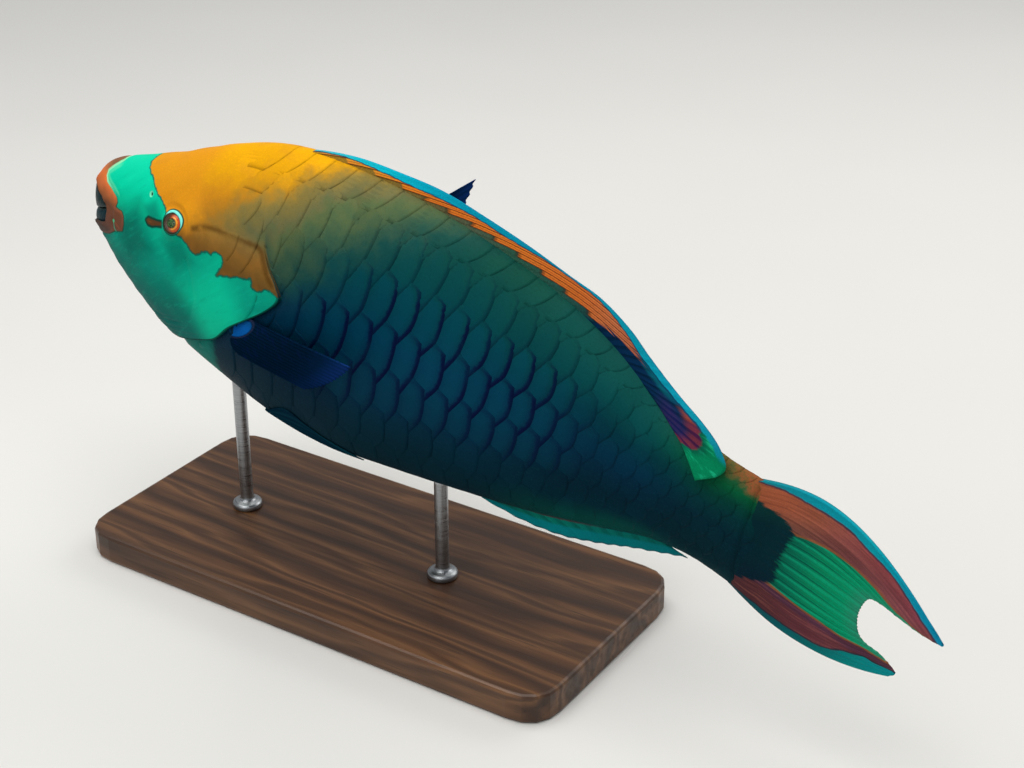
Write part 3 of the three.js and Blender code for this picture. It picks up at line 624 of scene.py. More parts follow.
def build_skin(mat):
    n_around = 336
    t = np.linspace(-1, 1, n_around + 1)[:-1]
    deg = deg_of(np.full(n_around, 118.0), t)
    deg[0] = -180.0
    # rings: snout to gill cover, then the step, then the trunk
    u = np.linspace(0, 11.2, 1400)
    rows = spline(np.array([[2.2, -1, -9], [2.6, 3.5, -14.5], [4, 8.6, -19.5], [6.8, 13.6, -24.3], [12.2, 18.6, -30],
                            [22, 24.5, -38], [40, 33.3, -50.4], [64, 45.4, -63.4], [92, 61.6, -73], [125, 76.4, -80.4],
                            [160, 84.4, -87], [200, 87, -88]]), np.minimum(u, 10.25))
    arc = np.r_[0, np.cumsum(np.hypot(np.diff(rows[:, 0]), 0.6 * np.abs(np.diff(rows[:, 1]))))]
    # close rings round the mouth, wider ones toward the gill cover
    weight = np.interp(rows[:, 0], [2.2, 45, 60, 110, 135, 200], [1.35, 1.3, 1.0, 0.95, 0.55, 0.5])
    cost = np.r_[0, np.cumsum(np.diff(arc) * 0.5 * (weight[1:] + weight[:-1]))]
    shead = np.interp(np.linspace(0, cost[-1], 216), cost, rows[:, 0])
    th = (shead - SNOUT_S) / (shead[-1] - SNOUT_S)
    th = th[np.r_[True, np.diff(th) > 1e-6]]
    edge = cover_edge(deg)
    rings, grow = [], []
    d = np.abs(deg)
    flap = flap_share(deg)
    for k in th[:-1]:
        s = lerp(SNOUT_S, edge, k)
        rings.append(s)
        grow.append(cover_swell(s, deg) - skin_depth(s, deg))
    # the flap's rounded rear edge, its underside, and the groove behind it
    for off, flat, h in ((-0.35, -0.3, 1.35), (0.25, 0.1, 0.95), (0.35, 0.5, 0.1), (-0.2, 1.0, -0.75), (0.6, 1.6, -1.55),
                         (2.2, 2.6, -1.75), (4.2, 4.2, -1.55)):
        rings.append(edge + lerp(flat, off, smooth(0.0, 0.35, flap)))
        plain = -skin_depth(edge + flat, deg)
        grow.append(lerp(plain, h, flap))
    n_back = 70
    for k in range(1, n_back + 1):
        tt = (k / n_back) ** 0.92
        s = lerp(edge + 5.0, BODY_END + 1.2, tt)
        rings.append(s)
        grow.append(-skin_depth(np.maximum(s, edge + 4), deg) * (1 - 0.7 * smooth(440, 456, s)))
    S = np.array(rings)
    H = np.array(grow)
    # keep ring order where the flap folds under itself
    D = np.broadcast_to(deg, S.shape)
    base = surface(S, D)
    # normals from the neighbours, good on the snout too
    dj = np.gradient(surface(np.maximum.accumulate(S, axis=0) + 1e-4 * np.arange(len(S))[:, None], D), axis=0)
    di = np.roll(base, -1, 1) - np.roll(base, 1, 1)
    N = np.cross(di, dj)
    N /= np.maximum(np.linalg.norm(N, axis=2, keepdims=True), 1e-9)
    out = np.stack([np.zeros_like(S), base[..., 1], base[..., 2] - station(S)[3]], -1)
    N *= np.sign((N * out).sum(-1, keepdims=True) + 1e-9)
    P = base.copy()

    side = base[..., [0, 2]].reshape(-1, 2)
    lipd = inside_distance(side, LIP).reshape(S.shape)
    add = np.zeros_like(S)
    # lips: a full roll that ends in a groove
    front = 1 - smooth(48, 60, S)
    add += front * (0.35 * smooth(-0.8, 2.2, lipd) * (1 - 0.35 * smooth(5, 12, lipd)) - 0.4 * gauss(lipd + 0.8, 0.9))
    fold = polyline_distance(side, FOLD)[0].reshape(S.shape)
    add -= front * 0.5 * gauss(fold - 1.3, 0.7)
    corner = np.hypot(base[..., 0] - 26, base[..., 2] + 7)
    add += front * 0.3 * gauss(corner - 9.5, 2.0) - front * 0.25 * gauss(corner - 6.5, 1.6)
    # cheek plate, crease, folds of the throat
    cheek = polyline_distance(side, CHEEK)[0].reshape(S.shape)
    inner = inside_distance(side, CHEEK + [(55, 10), (80, 6)]).reshape(S.shape)
    add += -0.45 * gauss(cheek, 1.6) + 0.35 * smooth(0, 14, inner)
    crease = polyline_distance(side, CREASE)[0].reshape(S.shape)
    add -= 0.4 * gauss(crease, 1.7)
    for k in range(1, 5):
        lag = cover_edge(D) - S
        throat = smooth(112, 128, np.abs(D)) * (1 - smooth(172, 179, np.abs(D)))
        add -= throat * 0.4 * gauss(lag - 6.0 * k, 0.9)
    # nostrils
    for (ns, nz, r) in NOSTRILS:
        dn = np.hypot(base[..., 0] - ns, base[..., 2] - nz)
        add += 0.32 * gauss(dn - r * 1.9, 0.7) - 1.5 * gauss(dn, r)
    # slow unevenness of real flesh
    x, y, z3 = base[..., 0], base[..., 1], base[..., 2]
    add += 0.16 * (1 - smooth(84, 106, x)) * (np.sin(x * 0.21 + z3 * 0.13 + 1.3) * np.sin(z3 * 0.19 - x * 0.07) + 0.6 * np.sin(x * 0.47 - z3 * 0.38 + y * 0.2))
    P += N * (H + add)[..., None]

    # mouth
    q, full, ang, inside = mouth_push(P)
    P = q + N * (0.5 * full)[..., None]
    # eye socket and its fleshy ring, both sides
    for sign in (1, -1):
        C, A = EYE_C * [1, sign, 1], EYE_A * [1, sign, 1]
        d3 = P - C
        h0 = d3 @ A
        perp = d3 - h0[..., None] * A
        rho = np.linalg.norm(perp, axis=-1)
        near = (rho < 16) & (h0 > 0) & (np.sign(base[..., 1]) == sign)
        ball = np.sqrt(np.maximum(EYE["radius"] ** 2 - np.minimum(rho, 9.1) ** 2, 0))
        socket = ball - 1.3
        lid = np.interp(rho, [0, 5.2, 5.5, 5.85, 6.4, 7.2, 8.2, 9.4, 12.2, 16],
                        [0, 0, 6.7, 7.3, 7.45, 7.05, 6.3, 5.6, 4.2, 3.0])
        target = np.where(rho < 5.3, socket, lid)
        w = 1 - smooth(7.8, 12.5, rho)
        new = lerp(h0, target, w)
        P += np.where(near, new - h0, 0)[..., None] * A

    m, n = S.shape
    idx = np.arange(m * n).reshape(m, n)
    nxt = np.roll(idx, -1, 1)
    faces = np.stack([idx[:-1], nxt[:-1], nxt[1:], idx[1:]], -1).reshape(-1, 4)
    uu = np.linspace(0.002, 0.998, m)
    vv = (np.arange(n + 1)) / n * 0.996 + 0.002
    U, V = np.meshgrid(uu, vv, indexing="ij")
    uvg = np.stack([U, V], -1)
    uv = np.stack([uvg[:-1, :-1], uvg[:-1, 1:], uvg[1:, 1:], uvg[1:, :-1]], -2).reshape(-1, 4, 2)
    pts = P.reshape(-1, 3)
    # close both ends with one ring drawn in to a point
    tip = pts[:n].mean(0) + [-0.25, 0, 0]
    end = pts[-n:].mean(0)
    pts = np.vstack([pts, tip, end])
    a, b = m * n, m * n + 1
    cap = [[idx[0, (i + 2) % n], idx[0, (i + 1) % n], idx[0, i], a] for i in range(0, n, 2)]
    cap2 = [[idx[-1, i], idx[-1, (i + 1) % n], idx[-1, (i + 2) % n], b] for i in range(0, n, 2)]
    faces = np.vstack([faces, cap, cap2])
    uvc = np.full((len(cap), 4, 2), 0.001)
    uvd = np.full((len(cap2), 4, 2), 0.999)
    uv = np.concatenate([uv, uvc, uvd])
    f_p = np.vstack([base.reshape(-1, 3), base[0].mean(0), base[-1].mean(0)])
    f_d = np.r_[D.ravel(), 90, 90]
    at = fields(f_p, f_d)
    # the ring round the eye, and the inside of the mouth, which gets painted shade, as fields of their own
    rho = np.full(len(pts), 60.0)
    phi = np.zeros(len(pts))
    rearward = np.zeros(len(pts))
    for sign in (1, -1):
        C, A = EYE_C * [1, sign, 1], EYE_A * [1, sign, 1]
        d3 = pts - C
        h = d3 @ A
        r = np.linalg.norm(d3 - h[:, None] * A, axis=-1)
        k = (h > 0) & (r < rho) & (np.sign(pts[:, 1]) == sign)
        rho = np.where(k, r, rho)
        phi = np.where(k, (d3[:, 2] - h * A[2]) / np.maximum(r, 0.1), phi)
        rearward = np.where(k, (d3[:, 0] - h * A[0]) / np.maximum(r, 0.1), rearward)
    at["eye_ring"] = rho
    at["eye_up"] = phi
    at["eye_back"] = rearward
    here = f_p[:, [0, 2]]
    at["fold"] = np.where(here[:, 0] < 60, polyline_distance(here, FOLD)[0], 60.0)
    at["fold_head"] = np.hypot(here[:, 0] - FOLD[0][0], here[:, 1] - FOLD[0][1])
    at["streak"] = np.where(here[:, 0] < 60, polyline_distance(here, STREAK)[0], 60.0)
    at["nostril"] = np.min([np.hypot(here[:, 0] - ns, here[:, 1] - nz) / (r / 0.9) for ns, nz, r in NOSTRILS], 0)
    # how deep a point lies inside the open mouth: where the paint puts shade
    mouth_shade = np.zeros(len(pts))
    mouth_shade[:m * n] = (smooth(-0.2, 1.2, inside) * (ang < 82)).ravel()
    at["mouth_shade"] = mouth_shade
    o = make("skin", pts, faces, mat, at, uv)
    return attach(o, "skin_body", "head", "trunk", "tail_stalk")


# the stalk thins into the tail fin, and its last scales run out on the fin
STALK = surface(np.full(240, 455.0), np.linspace(1, 179, 240))


def ridge(v, sharp=3):
    return (0.5 + 0.5 * np.cos(2 * np.pi * v)) ** sharp


def root_half(z, t):
    """Half the fleshy thickness of the tail fin's root, level z, share t of its length."""
    full = np.interp(z, STALK[::-1, 2], STALK[::-1, 1]) - 0.55
    return full * (1 - smooth(-0.02, 0.3, t))


def stalk_surface(s, deg, h):
    """The outline, run on over the fin's root behind the stalk's end."""
    sc = np.minimum(s, 455.0)
    P = surface(sc, deg, h)
    on = np.maximum(s - sc, 0)
    z = P[..., 2]
    drop = root_half(z, 0 * z) - root_half(z, (s - 453.5) / 72.0)
    x = P[..., 1]
    P[..., 1] = np.sign(x) * np.maximum(np.abs(x) - np.where(on > 0, drop, 0) * 0.97 - 0.12 * smooth(0, 16, on), 0.3)
    P[..., 2] = z * (1 + 0.011 * on)
    P[..., 0] += on
    return P


# =================================================================== scales
# Rows by girth share, back to belly; one row's scales stand half a column
# behind the next row's.
ROW_G = np.array([0, .09, .225, .355, .493, .63, .765, .895, 1.0])
ROW_H = 0.138
_ks = np.linspace(40, 520, 2000)
_pitch = np.interp(_ks, [40, 120, 200, 260, 300, 335, 380, 455, 520], [11.5, 13.5, 15.2, 15.0, 13.7, 13.2, 11.5, 9.4, 8.6])
_kn = np.r_[0, np.cumsum(0.5 * (1 / _pitch[1:] + 1 / _pitch[:-1]) * np.diff(_ks))]
_kn -= np.interp(274.2, _ks, _kn)
PLATE_R = np.array([-1.05, -1, -.94, -.86, -.76, -.62, -.46, -.3, -.15, -.02, .1, .22, .34, .45, .53, .6])


def column_s(k):
    return np.interp(k, _kn, _ks)


def retreat(r):
    """How far a scale's rear edge stands forward of its apex, in columns."""
    return 0.5 * (np.sqrt(r * r + 0.01) + r) + 0.55 * smooth(-0.84, -1.05, r) - 0.06 * np.exp(-((r + 0.42) / 0.3) ** 2)


def scaled_from(G):
    """Front limit of the scaled skin on the head, by girth share."""
    lim = np.interp(np.abs(G), [0, 0.16, 0.26, 0.36, 0.42, 0.47, 0.51, 0.54, 0.72, 1.0],
                    [121, 121, 123, 127, 132, 139, 155, 400, 400, 400])
    return lim


NET_ROW = [0.0, 0.10, 0.30, 1.0, 1.0, 0.72, 0.22, 0.05, 0.0]


def build_scales(name, pick, mat, rng):
    V, F, UV, AT_s, AT_d, AT_l, AT_r, AT_n, AT_c = [], [], [], [], [], [], [], [], []
    na = 13
    a = np.linspace(0, 1, na)[:, None] ** 0.8
    kmin, kmax = int(np.interp(60, _ks, _kn)) - 1, int(np.interp(476, _ks, _kn))
    count = 0
    last = len(ROW_G) - 1
    for j in range(-last + 1, last + 1):
        aj = abs(j)
        G0 = float(ROW_G[aj])
        for k in range(kmin, kmax + 1):
            kk = k + (0.5 if aj % 2 else 0.0)
            s0 = float(column_s(kk))
            P = float(np.interp(s0, _ks, _pitch))
            d0 = float(deg_of(s0, math.copysign(G0, j) if j else 0.0))
            e0 = float(cover_edge(d0))
            if not pick(s0, j, d0, e0):
                continue
            nape = abs(d0) < 68
            head = s0 < e0 + 2.5
            if not nape and not head and s0 < e0 + 3.5:
                continue
            if head and s0 - 0.4 * P <= scaled_from(G0):
                continue
            if s0 < 70 or s0 > 473:
                continue
            if s0 > 458:                                 # on the fin: a tongue along its middle
                lev = float(surface(455.0, d0)[..., 2])
                lev = lev / 33.0 if lev > 0 else -lev / 31.0
                if abs(j) in (0, last) or lev > 0.92 - (s0 - 458) / 24.0:
                    continue
            if not head and not nape and aj >= 6 and s0 < 137:      # bare throat
                continue
            j1 = rng.standard_normal(4)
            L = 2.25 * P
            if j == 0:
                r = np.linspace(-0.78, 0.78, 15)
                back = 0.62 * (np.abs(r) / 0.78) ** 2.3
            elif aj == last:
                r = np.linspace(-1.0, 1.0, 17)
                back = 0.62 * np.abs(r) ** 2.3
            else:
                cut = min(1.05, (G0 - 0.004) / ROW_H)
                back = retreat(PLATE_R)
                r = np.where(PLATE_R < 0, PLATE_R * cut / 1.05, PLATE_R)
            nb = len(r)
            back = back * (1 + 0.05 * j1[0]) + 0.02 * np.sin(5 * r + 3 * j1[3])
            r = r[None, :]
            rear = s0 + 0.25 * j1[1] - P * back[None, :]
            root = s0 - L
            s = root + a * (rear - root)
            share = G0 + r * ROW_H * (0.93 + 0.07 * a) + 0 * s
            dd = deg_of(s, share) * (-1 if j < 0 else 1)
            ed = cover_edge(dd)
            if head and not nape:
                s = np.minimum(s, ed - 0.7)
            depth = skin_depth(s, dd)
            lift = np.clip((s - root) / L, 0, 1)
            rise = depth - 0.02
            if head:
                rise = depth * (0.28 + 0.58 * smooth(98, 146, s0))
            h = cover_swell(s, dd) * (1 if head else 0) - depth - 0.07 + rise * lift ** 1.1
            h = h - 0.10 * smooth(0.9, 1.0, a)
            first = 0.0
            if head:                                 # the first ones lie flush at their sides
                edge = s0 - 0.4 * P - scaled_from(G0) - (P if j == 0 else 0)
                first = smooth(1.25 * P, 0.85 * P, edge)
                h = h - 0.5 * first * smooth(0.2, 0.75, np.abs(r))
                second = smooth(2.3 * P, 1.9 * P, edge) * (1 - first)
                h = h - 0.4 * second * smooth(0.2, 0.75, np.abs(r)) * (1 - smooth(0.62, 0.96, a))
            if j == 0:
                h = h + 0.10 * lift * (1 - first)
            if not head and not nape:                # tucked beneath the cover
                flap = flap_share(dd)
                h = np.where(s < ed + 2.0, np.minimum(h, lerp(h, -1.7, flap)), h)
                h = h - 0.25 * smooth(6, 2, s - ed) * flap
            thick = 0.16 + 0.12 * a
            top = stalk_surface(s, dd, h)
            low = stalk_surface(s, dd, h - thick)
            n0 = sum(len(v) for v in V)
            V.append(np.concatenate([top.reshape(-1, 3), low.reshape(-1, 3)]))
            idx = np.arange(na * nb).reshape(na, nb) + n0
            lo = idx + na * nb
            q = np.stack([idx[:-1, :-1], idx[:-1, 1:], idx[1:, 1:], idx[1:, :-1]], -1).reshape(-1, 4)
            ql = np.stack([lo[:-1, :-1], lo[1:, :-1], lo[1:, 1:], lo[:-1, 1:]], -1).reshape(-1, 4)
            ring = np.concatenate([idx[0, :], idx[1:, -1], idx[-1, -2::-1], idx[-2:0:-1, 0]])
            ringl = np.concatenate([lo[0, :], lo[1:, -1], lo[-1, -2::-1], lo[-2:0:-1, 0]])
            qs = np.stack([ring, ringl, np.roll(ringl, -1), np.roll(ring, -1)], -1)
            if j < 0:
                q, ql, qs = q[:, ::-1], ql[:, ::-1], qs[:, ::-1]
            F += [q, ql, qs]
            # a patch of its own on the unwrap, as tall as its row
            hide = 1 - P / L
            au = np.where(a < hide, 0.12 * a / hide, 0.12 + 0.88 * (a - hide) / (1 - hide))
            cu = (s0 - 60) / 400.0 * 0.97 + 0.02 + (au - 0.98) * P / 400.0 * 0.9 * 0.97
            side = -1 if j < 0 else 1
            mid_g = G0 if j else 0.0
            span = (r - r.min()) / (r.max() - r.min()) - 0.5
            cv = side * (mid_g + span * 0.118) * 0.49 + 0.5
            if aj == last:
                cv = 0.975 + span * 0.045
            uvp = np.stack([cu + 0 * cv, cv + 0 * cu], -1).reshape(-1, 2)
            uvp = np.concatenate([uvp, uvp])
            for f in (q, ql, qs):
                UV.append(uvp[f - n0])
            # distance to the rear edge, square to it
            gm = half_girth(s0) * ROW_H
            slope = np.gradient(back, r[0]) * P / gm
            dist = (rear - s) / np.sqrt(1 + slope[None, :] ** 2)
            AT_l.append(np.tile((dist + 0 * s).ravel(), 2))
            AT_s.append(np.concatenate([top.reshape(-1, 3)] * 2))
            AT_d.append(np.tile(dd.ravel(), 2))
            AT_r.append(np.full(2 * na * nb, rng.random()))
            net = NET_ROW[aj] * smooth(-1.0, -0.8, r) * (1 - smooth(0.5, 0.6, r)) * smooth(168, 200, s)
            if aj <= 3:
                net = net * (0.15 + 0.85 * smooth(196, 240, s))
            net = net * (1 - smooth(325, 375, s)) * (1 - 0.9 * smooth(0.60, 0.70, share)) * smooth(3, 12, s - ed)
            AT_n.append(np.tile(net.ravel(), 2))
            AT_c.append(np.tile((0 * s + r).ravel(), 2))
            count += 1
    if not V:
        return None
    pts = np.vstack(V)
    at = fields(np.vstack(AT_s), np.concatenate(AT_d))
    at["line"] = np.concatenate(AT_l)
    at["own"] = np.concatenate(AT_r)
    at["net"] = np.concatenate(AT_n)
    at["across"] = np.concatenate(AT_c)
    o = make(name, pts, np.vstack(F), mat, at, np.concatenate(UV).reshape(-1, 4, 2))
    print(name, count, "scales", len(o.data.polygons) * 2, "triangles")
    return attach(o, "skin_body")


# ===================================================================== fins
def build_blade(name, ni, nt, point, thick, mat, slot, node, extra, side=1):
    """A closed thin blade over a grid; extra(i, t) gives its own fields."""
    i = np.linspace(0, 1, ni + 1)[:, None]
    t = np.linspace(0, 1, nt + 1)[None, :]
    i, t = np.broadcast_arrays(i, t)
    P = point(i, t)
    W = world(P) * 1000
    di = np.gradient(W, axis=0)
    dt = np.gradient(W, axis=1)
    N = np.cross(di, dt)
    N /= np.maximum(np.linalg.norm(N, axis=2, keepdims=True), 1e-9)
    th = thick(i, t)
    a, b = W + N * th[..., None] / 2, W - N * th[..., None] / 2
    m, n = i.shape
    A = np.arange(m * n).reshape(m, n)
    B = A + m * n
    q1 = np.stack([A[:-1, :-1], A[1:, :-1], A[1:, 1:], A[:-1, 1:]], -1).reshape(-1, 4)
    q2 = np.stack([B[:-1, :-1], B[:-1, 1:], B[1:, 1:], B[1:, :-1]], -1).reshape(-1, 4)
    ring = np.concatenate([A[0, :], A[1:, -1], A[-1, -2::-1], A[-2:0:-1, 0]])
    rb = ring + m * n
    qs = np.stack([np.roll(ring, -1), np.roll(rb, -1), rb, ring], -1)
    faces = np.vstack([q1, q2, qs])
    pts = np.vstack([a.reshape(-1, 3), b.reshape(-1, 3)]) / 1000
    at = {"ri": np.tile(i.ravel(), 2), "rt": np.tile(t.ravel(), 2)}
    at["fish"] = np.concatenate([P.reshape(-1, 3)] * 2)
    for k, v in extra(i, t, P).items():
        at[k] = np.tile(np.broadcast_to(v, i.shape).ravel(), 2)
    uvg = np.stack([0.01 + 0.98 * i, 0.01 + 0.48 * t], -1).reshape(-1, 2)
    uvh = np.stack([0.01 + 0.98 * i, 0.51 + 0.48 * t], -1).reshape(-1, 2)
    table = np.vstack([uvg, uvh])
    uv = np.concatenate([table[q1], table[q2], table[np.stack([np.roll(ring, -1), np.roll(ring, -1), ring, ring], -1)]])
    vol = 0
    o = make(name, pts, faces, mat, at, uv, in_metres=True)
    if extra.__name__ == "flip":
        o.data.flip_normals()
    fix_outward(o)
    return attach(o, slot, node)


def fix_outward(o):
    me = o.data
    me.calc_loop_triangles()
    co = np.empty(len(me.vertices) * 3, np.float32)
    me.vertices.foreach_get("co", co)
    co = co.reshape(-1, 3).astype(float)
    tri = np.empty(len(me.loop_triangles) * 3, np.int32)
    me.loop_triangles.foreach_get("vertices", tri)
    tri = tri.reshape(-1, 3)
    c = co.mean(0)
    a, b, d = co[tri[:, 0]] - c, co[tri[:, 1]] - c, co[tri[:, 2]] - c
    if (a * np.cross(b, d)).sum() < 0:
        me.flip_normals()


def body_top(s):
    return station(s)[0]


def body_bottom(s):
    return station(s)[1]


# rays of the dorsal fin: [number along the base, s of the root, s of the tip,
# height of the tip, lean of the root and of the tip in degrees]
DORSAL = table_of([
    [0, 150, 153, 1.3, 0, 0], [0.06, 165.6, 169.7, 3.9, 0, 0], [0.12, 181.2, 186.4, 6, 0, 0],
    [0.2, 202, 208.6, 7.8, 0, 0], [0.3, 228, 236.4, 10.6, 0, 0], [0.4, 254, 264.2, 10.8, 0, 0],
    [0.5, 280, 292, 11.4, 0, 0], [0.6, 306, 319.8, 12.2, 0, 0], [0.68, 326.8, 342, 15.2, 0, 0],
    [0.75, 345, 361.5, 14.8, 0, 0], [0.8, 357, 375.4, 11.8, 2, 0], [0.86, 370, 395, 9.6, 8, 0],
    [0.905, 379.5, 415, 7.6, 13, 3], [0.935, 387, 428, 5.2, 17, 10],
    [0.96, 394, 435.5, 3.8, 22, 24], [0.98, 400, 433.5, 3.2, 27, 41], [1, 405, 424.5, 2.9, 31, 57]])
# where each spine leaves the sheath of scales along the base
SPINES = np.array([125.5, 141.5, 157.7, 175.9, 195, 212.8, 225.8, 242.7, 257, 272.5, 288.5, 304.3, 320, 336, 352, 368, 384,
                   400, 416, 432, 448])
CYAN_AT = [[150, .8], [171, .765], [198, .59], [223, .535], [244, .67], [262, .765], [278, .735], [293, .85], [308, .95],
           [322, .96], [340, .92], [352, .86], [364, .78], [376, .74], [392, .77], [410, .80], [424, .85], [436, .9]]


def dorsal_height(i, t):
    s0, s1, high, root, tip = DORSAL(i)
    lay = smooth(0.85, 0.93, i)
    high = np.maximum(high, 1) + 1.0 * gauss(i - 0.91, 0.03) + 1.8 * gauss(i - 0.94, 0.022)
    base = lerp(-1.3, -0.3, lay)
    h = lerp(base, high, t ** lerp(1.0, 0.8, lay)) + 0.035 * (s1 - s0) * t * (1 - t) * (1 - lay)
    return h, lerp(s0, s1 + 1.6 * gauss(i - 0.95, 0.03), t), high, lerp(np.maximum(root, 0), np.maximum(tip, 0), t ** 1.2)


def dorsal_point(i, t):
    h, s, high, deg = dorsal_height(i, t)
    return surface(s, deg, h)


def dorsal_sheath(s):
    return np.interp(s, [150, 200, 225, 245, 262, 282, 305, 325, 345, 360], [0, 0, .2, .9, 1.6, 2.1, 2.1, 1.7, 1.2, 0.6])


def dorsal_phase(i, t):
    h, s, high, deg = dorsal_height(i, t)
    return np.interp(s - 6.2 * (h - dorsal_sheath(s)), SPINES, np.arange(len(SPINES)))


def build_dorsal(mat):
    def thick(i, t):
        f = dorsal_phase(i, t) % 1.0
        lay = smooth(0.85, 0.93, i)
        web = lerp(2.5, 0.8, t ** 0.7) * lerp(1, 0.6, smooth(0.8, 1, i))
        spine = 0.55 * f * (1 - smooth(0.6, 0.85, t)) * (1 - smooth(0.72, 0.8, i))
        fan = 0.5 * ridge(i * 46, 2) * smooth(0.74, 0.82, i) * smooth(0.1, 0.4, t)
        return (web + spine + fan * lerp(1, 0.6, lay)) * lerp(1, 0.6, smooth(0.94, 1, t))

    def extra(i, t, P):
        h, s, high, deg = dorsal_height(i, t)
        cy = np.array(CYAN_AT)
        cyan = (t - np.interp(s, cy[:, 0], cy[:, 1])) * (high + 1.3)
        m = np.interp(i, [.88, .90, .92, .94, .96, .98, 1.0], [1.1, .95, .80, .72, .62, .42, .2])
        length = np.interp(i, [.8, .9, .94, .97, 1], [20, 36, 44, 42, 30])
        return {"ray": dorsal_phase(i, t), "tall": h - dorsal_sheath(s), "cyan": cyan, "far": (t - m) * length,
                "navy": s - 331 - 60 * t, "fan": i * 46}

    return build_blade("dorsal_fin_web", 620, 22, dorsal_point, thick, mat, "fin_dorsal", "dorsal_fin", extra)


ANAL_EDGE = table_of([[290, 1.2], [300, 4.2], [312, 7.0], [330, 10.2], [352, 12.8], [370, 12.2], [386, 11.0],
                      [403, 9.0], [416, 6.0], [429, 2.2]])


def median_fin(name, span, edge, level, sign, ni, rays, slant, mat, slot):
    a0, a1, b0, b1 = span

    def bases(i):
        s0, s1 = lerp(a0, a1, i), lerp(b0, b1, i)
        z0 = level(s0) - sign * 1.6
        z1 = level(s1) + sign * np.maximum(edge(s1)[0], 1.0)
        return s0, s1, z0, z1

    def phase(i, t):
        s0, s1, z0, z1 = bases(i)
        h = np.abs(z1 - z0) * t
        return (lerp(s0, s1, t) - h * slant - a0) / ((a1 - a0) / rays)

    def point(i, t):
        s0, s1, z0, z1 = bases(i)
        dip = sign * 0.035 * (s1 - s0) * t * (1 - t)
        # tips of the rays notch the margin
        notch = 0.5 * (0.5 - 0.5 * np.cos(2 * np.pi * phase(i, t))) * smooth(0.7, 1, t) * smooth(0, 0.06, i)
        z = lerp(z0, z1, t) + dip - sign * notch
        return np.stack([lerp(s0, s1, t), 0 * z, z], -1)

    def thick(i, t):
        ray = (0.5 + 0.5 * np.cos(2 * np.pi * phase(i, t))) ** 4
        web = lerp(2.6, 0.75, t ** 0.7)
        return (web + 0.75 * ray * (1 - 0.5 * t)) * lerp(1, 0.7, smooth(0.9, 1, i)) * lerp(1, 0.45, smooth(0.94, 1, t))

    def extra(i, t, P):
        return {"ray": phase(i, t), "tall": np.abs(bases(i)[3] - bases(i)[2]) * t}

    return build_blade(name, ni, 16, point, thick, mat, slot, name.replace("_web", ""), extra)


TAIL_MARGIN = np.array([[0, 567, 16.5], [.06, 571, 13.5], [.14, 559, 12.0], [.22, 546, 12.6], [.30, 535, 13.2],
                        [.38, 528, 10.6], [.50, 525, -1.0], [.62, 527.0, -11.5], [.72, 532, -16.0], [.82, 542, -17.2],
                        [.93, 551.5, -22.0], [1, 549, -26.5]])
_tm = spline(TAIL_MARGIN, np.linspace(0, 11, 3000))


def tail_point(i, t):
    s1, z1 = np.interp(i, _tm[:, 0], _tm[:, 1]), np.interp(i, _tm[:, 0], _tm[:, 2])
    s0, z0 = 453.5, lerp(34.2, -30.8, i)
    k = 2 * i - 1
    belly = np.sign(-k) * np.where(k > 0, 22, 40) * np.abs(k) ** 1.5
    cs, cz = lerp(s0, s1, .57), lerp(z0, z1, .57) + belly
    def q(a, c, b):
        return a * (1 - t) ** 2 + 2 * c * t * (1 - t) + b * t * t
    s, z = q(s0, cs, s1), q(z0, cz, z1)
    tw, m = math.radians(10) * smooth(462, 560, s), 1 - 5 * smooth(470, 560, s)
    return np.stack([s, (z - m) * np.sin(tw), m + (z - m) * np.cos(tw)], -1)




def side_at(s, z, grow):
    lo, hi = np.full(np.shape(z), 1.0), np.full(np.shape(z), 179.0)
    for _ in range(40):
        m = (lo + hi) / 2
        above = surface(s, m)[..., 2] > z
        lo, hi = np.where(above, m, lo), np.where(above, hi, m)
    return surface(s, lo, grow)


PECTORAL = {1: ((102, 47, 40), (72, 9, 7)), -1: ((27, 100, 40), (50, 36, 5))}


def pectoral_point(side, grow=-3.5):
    lead, last = PECTORAL[side]

    def point(i, t):
        s0, z0 = lerp(149, 123, i), lerp(-11, -42, i)
        r = side_at(s0, z0, grow)
        d = [lerp(lead[k], last[k], i) for k in range(3)]
        ln = lerp(119, 73, i ** 1.2) * (1.0 if side > 0 else 0.94)
        n = np.sqrt(sum(v * v for v in d))
        bow = 7 * np.sin(np.pi * t) * (1 - .4 * i)
        return np.stack([r[..., 0] + d[0] / n * ln * t, side * (r[..., 1] + d[1] / n * ln * t + bow * .7),
                         r[..., 2] + d[2] / n * ln * t + bow * .4], -1)
    return point


def pelvic_point(side):
    def point(i, t):
        s0, s1 = 152 + 9 * i, lerp(224.0, 190.0, i * i)
        s = lerp(s0, s1, t)
        opening = .22 + .78 * np.sin(np.pi * np.minimum(1, .12 + .62 * t))
        deg = 161 - (161 - 133) * i * opening
        return surface(s, side * deg, 0.5 + .15 * t * t)
    return point


# ================================================================ materials
GLOSS = 0.02


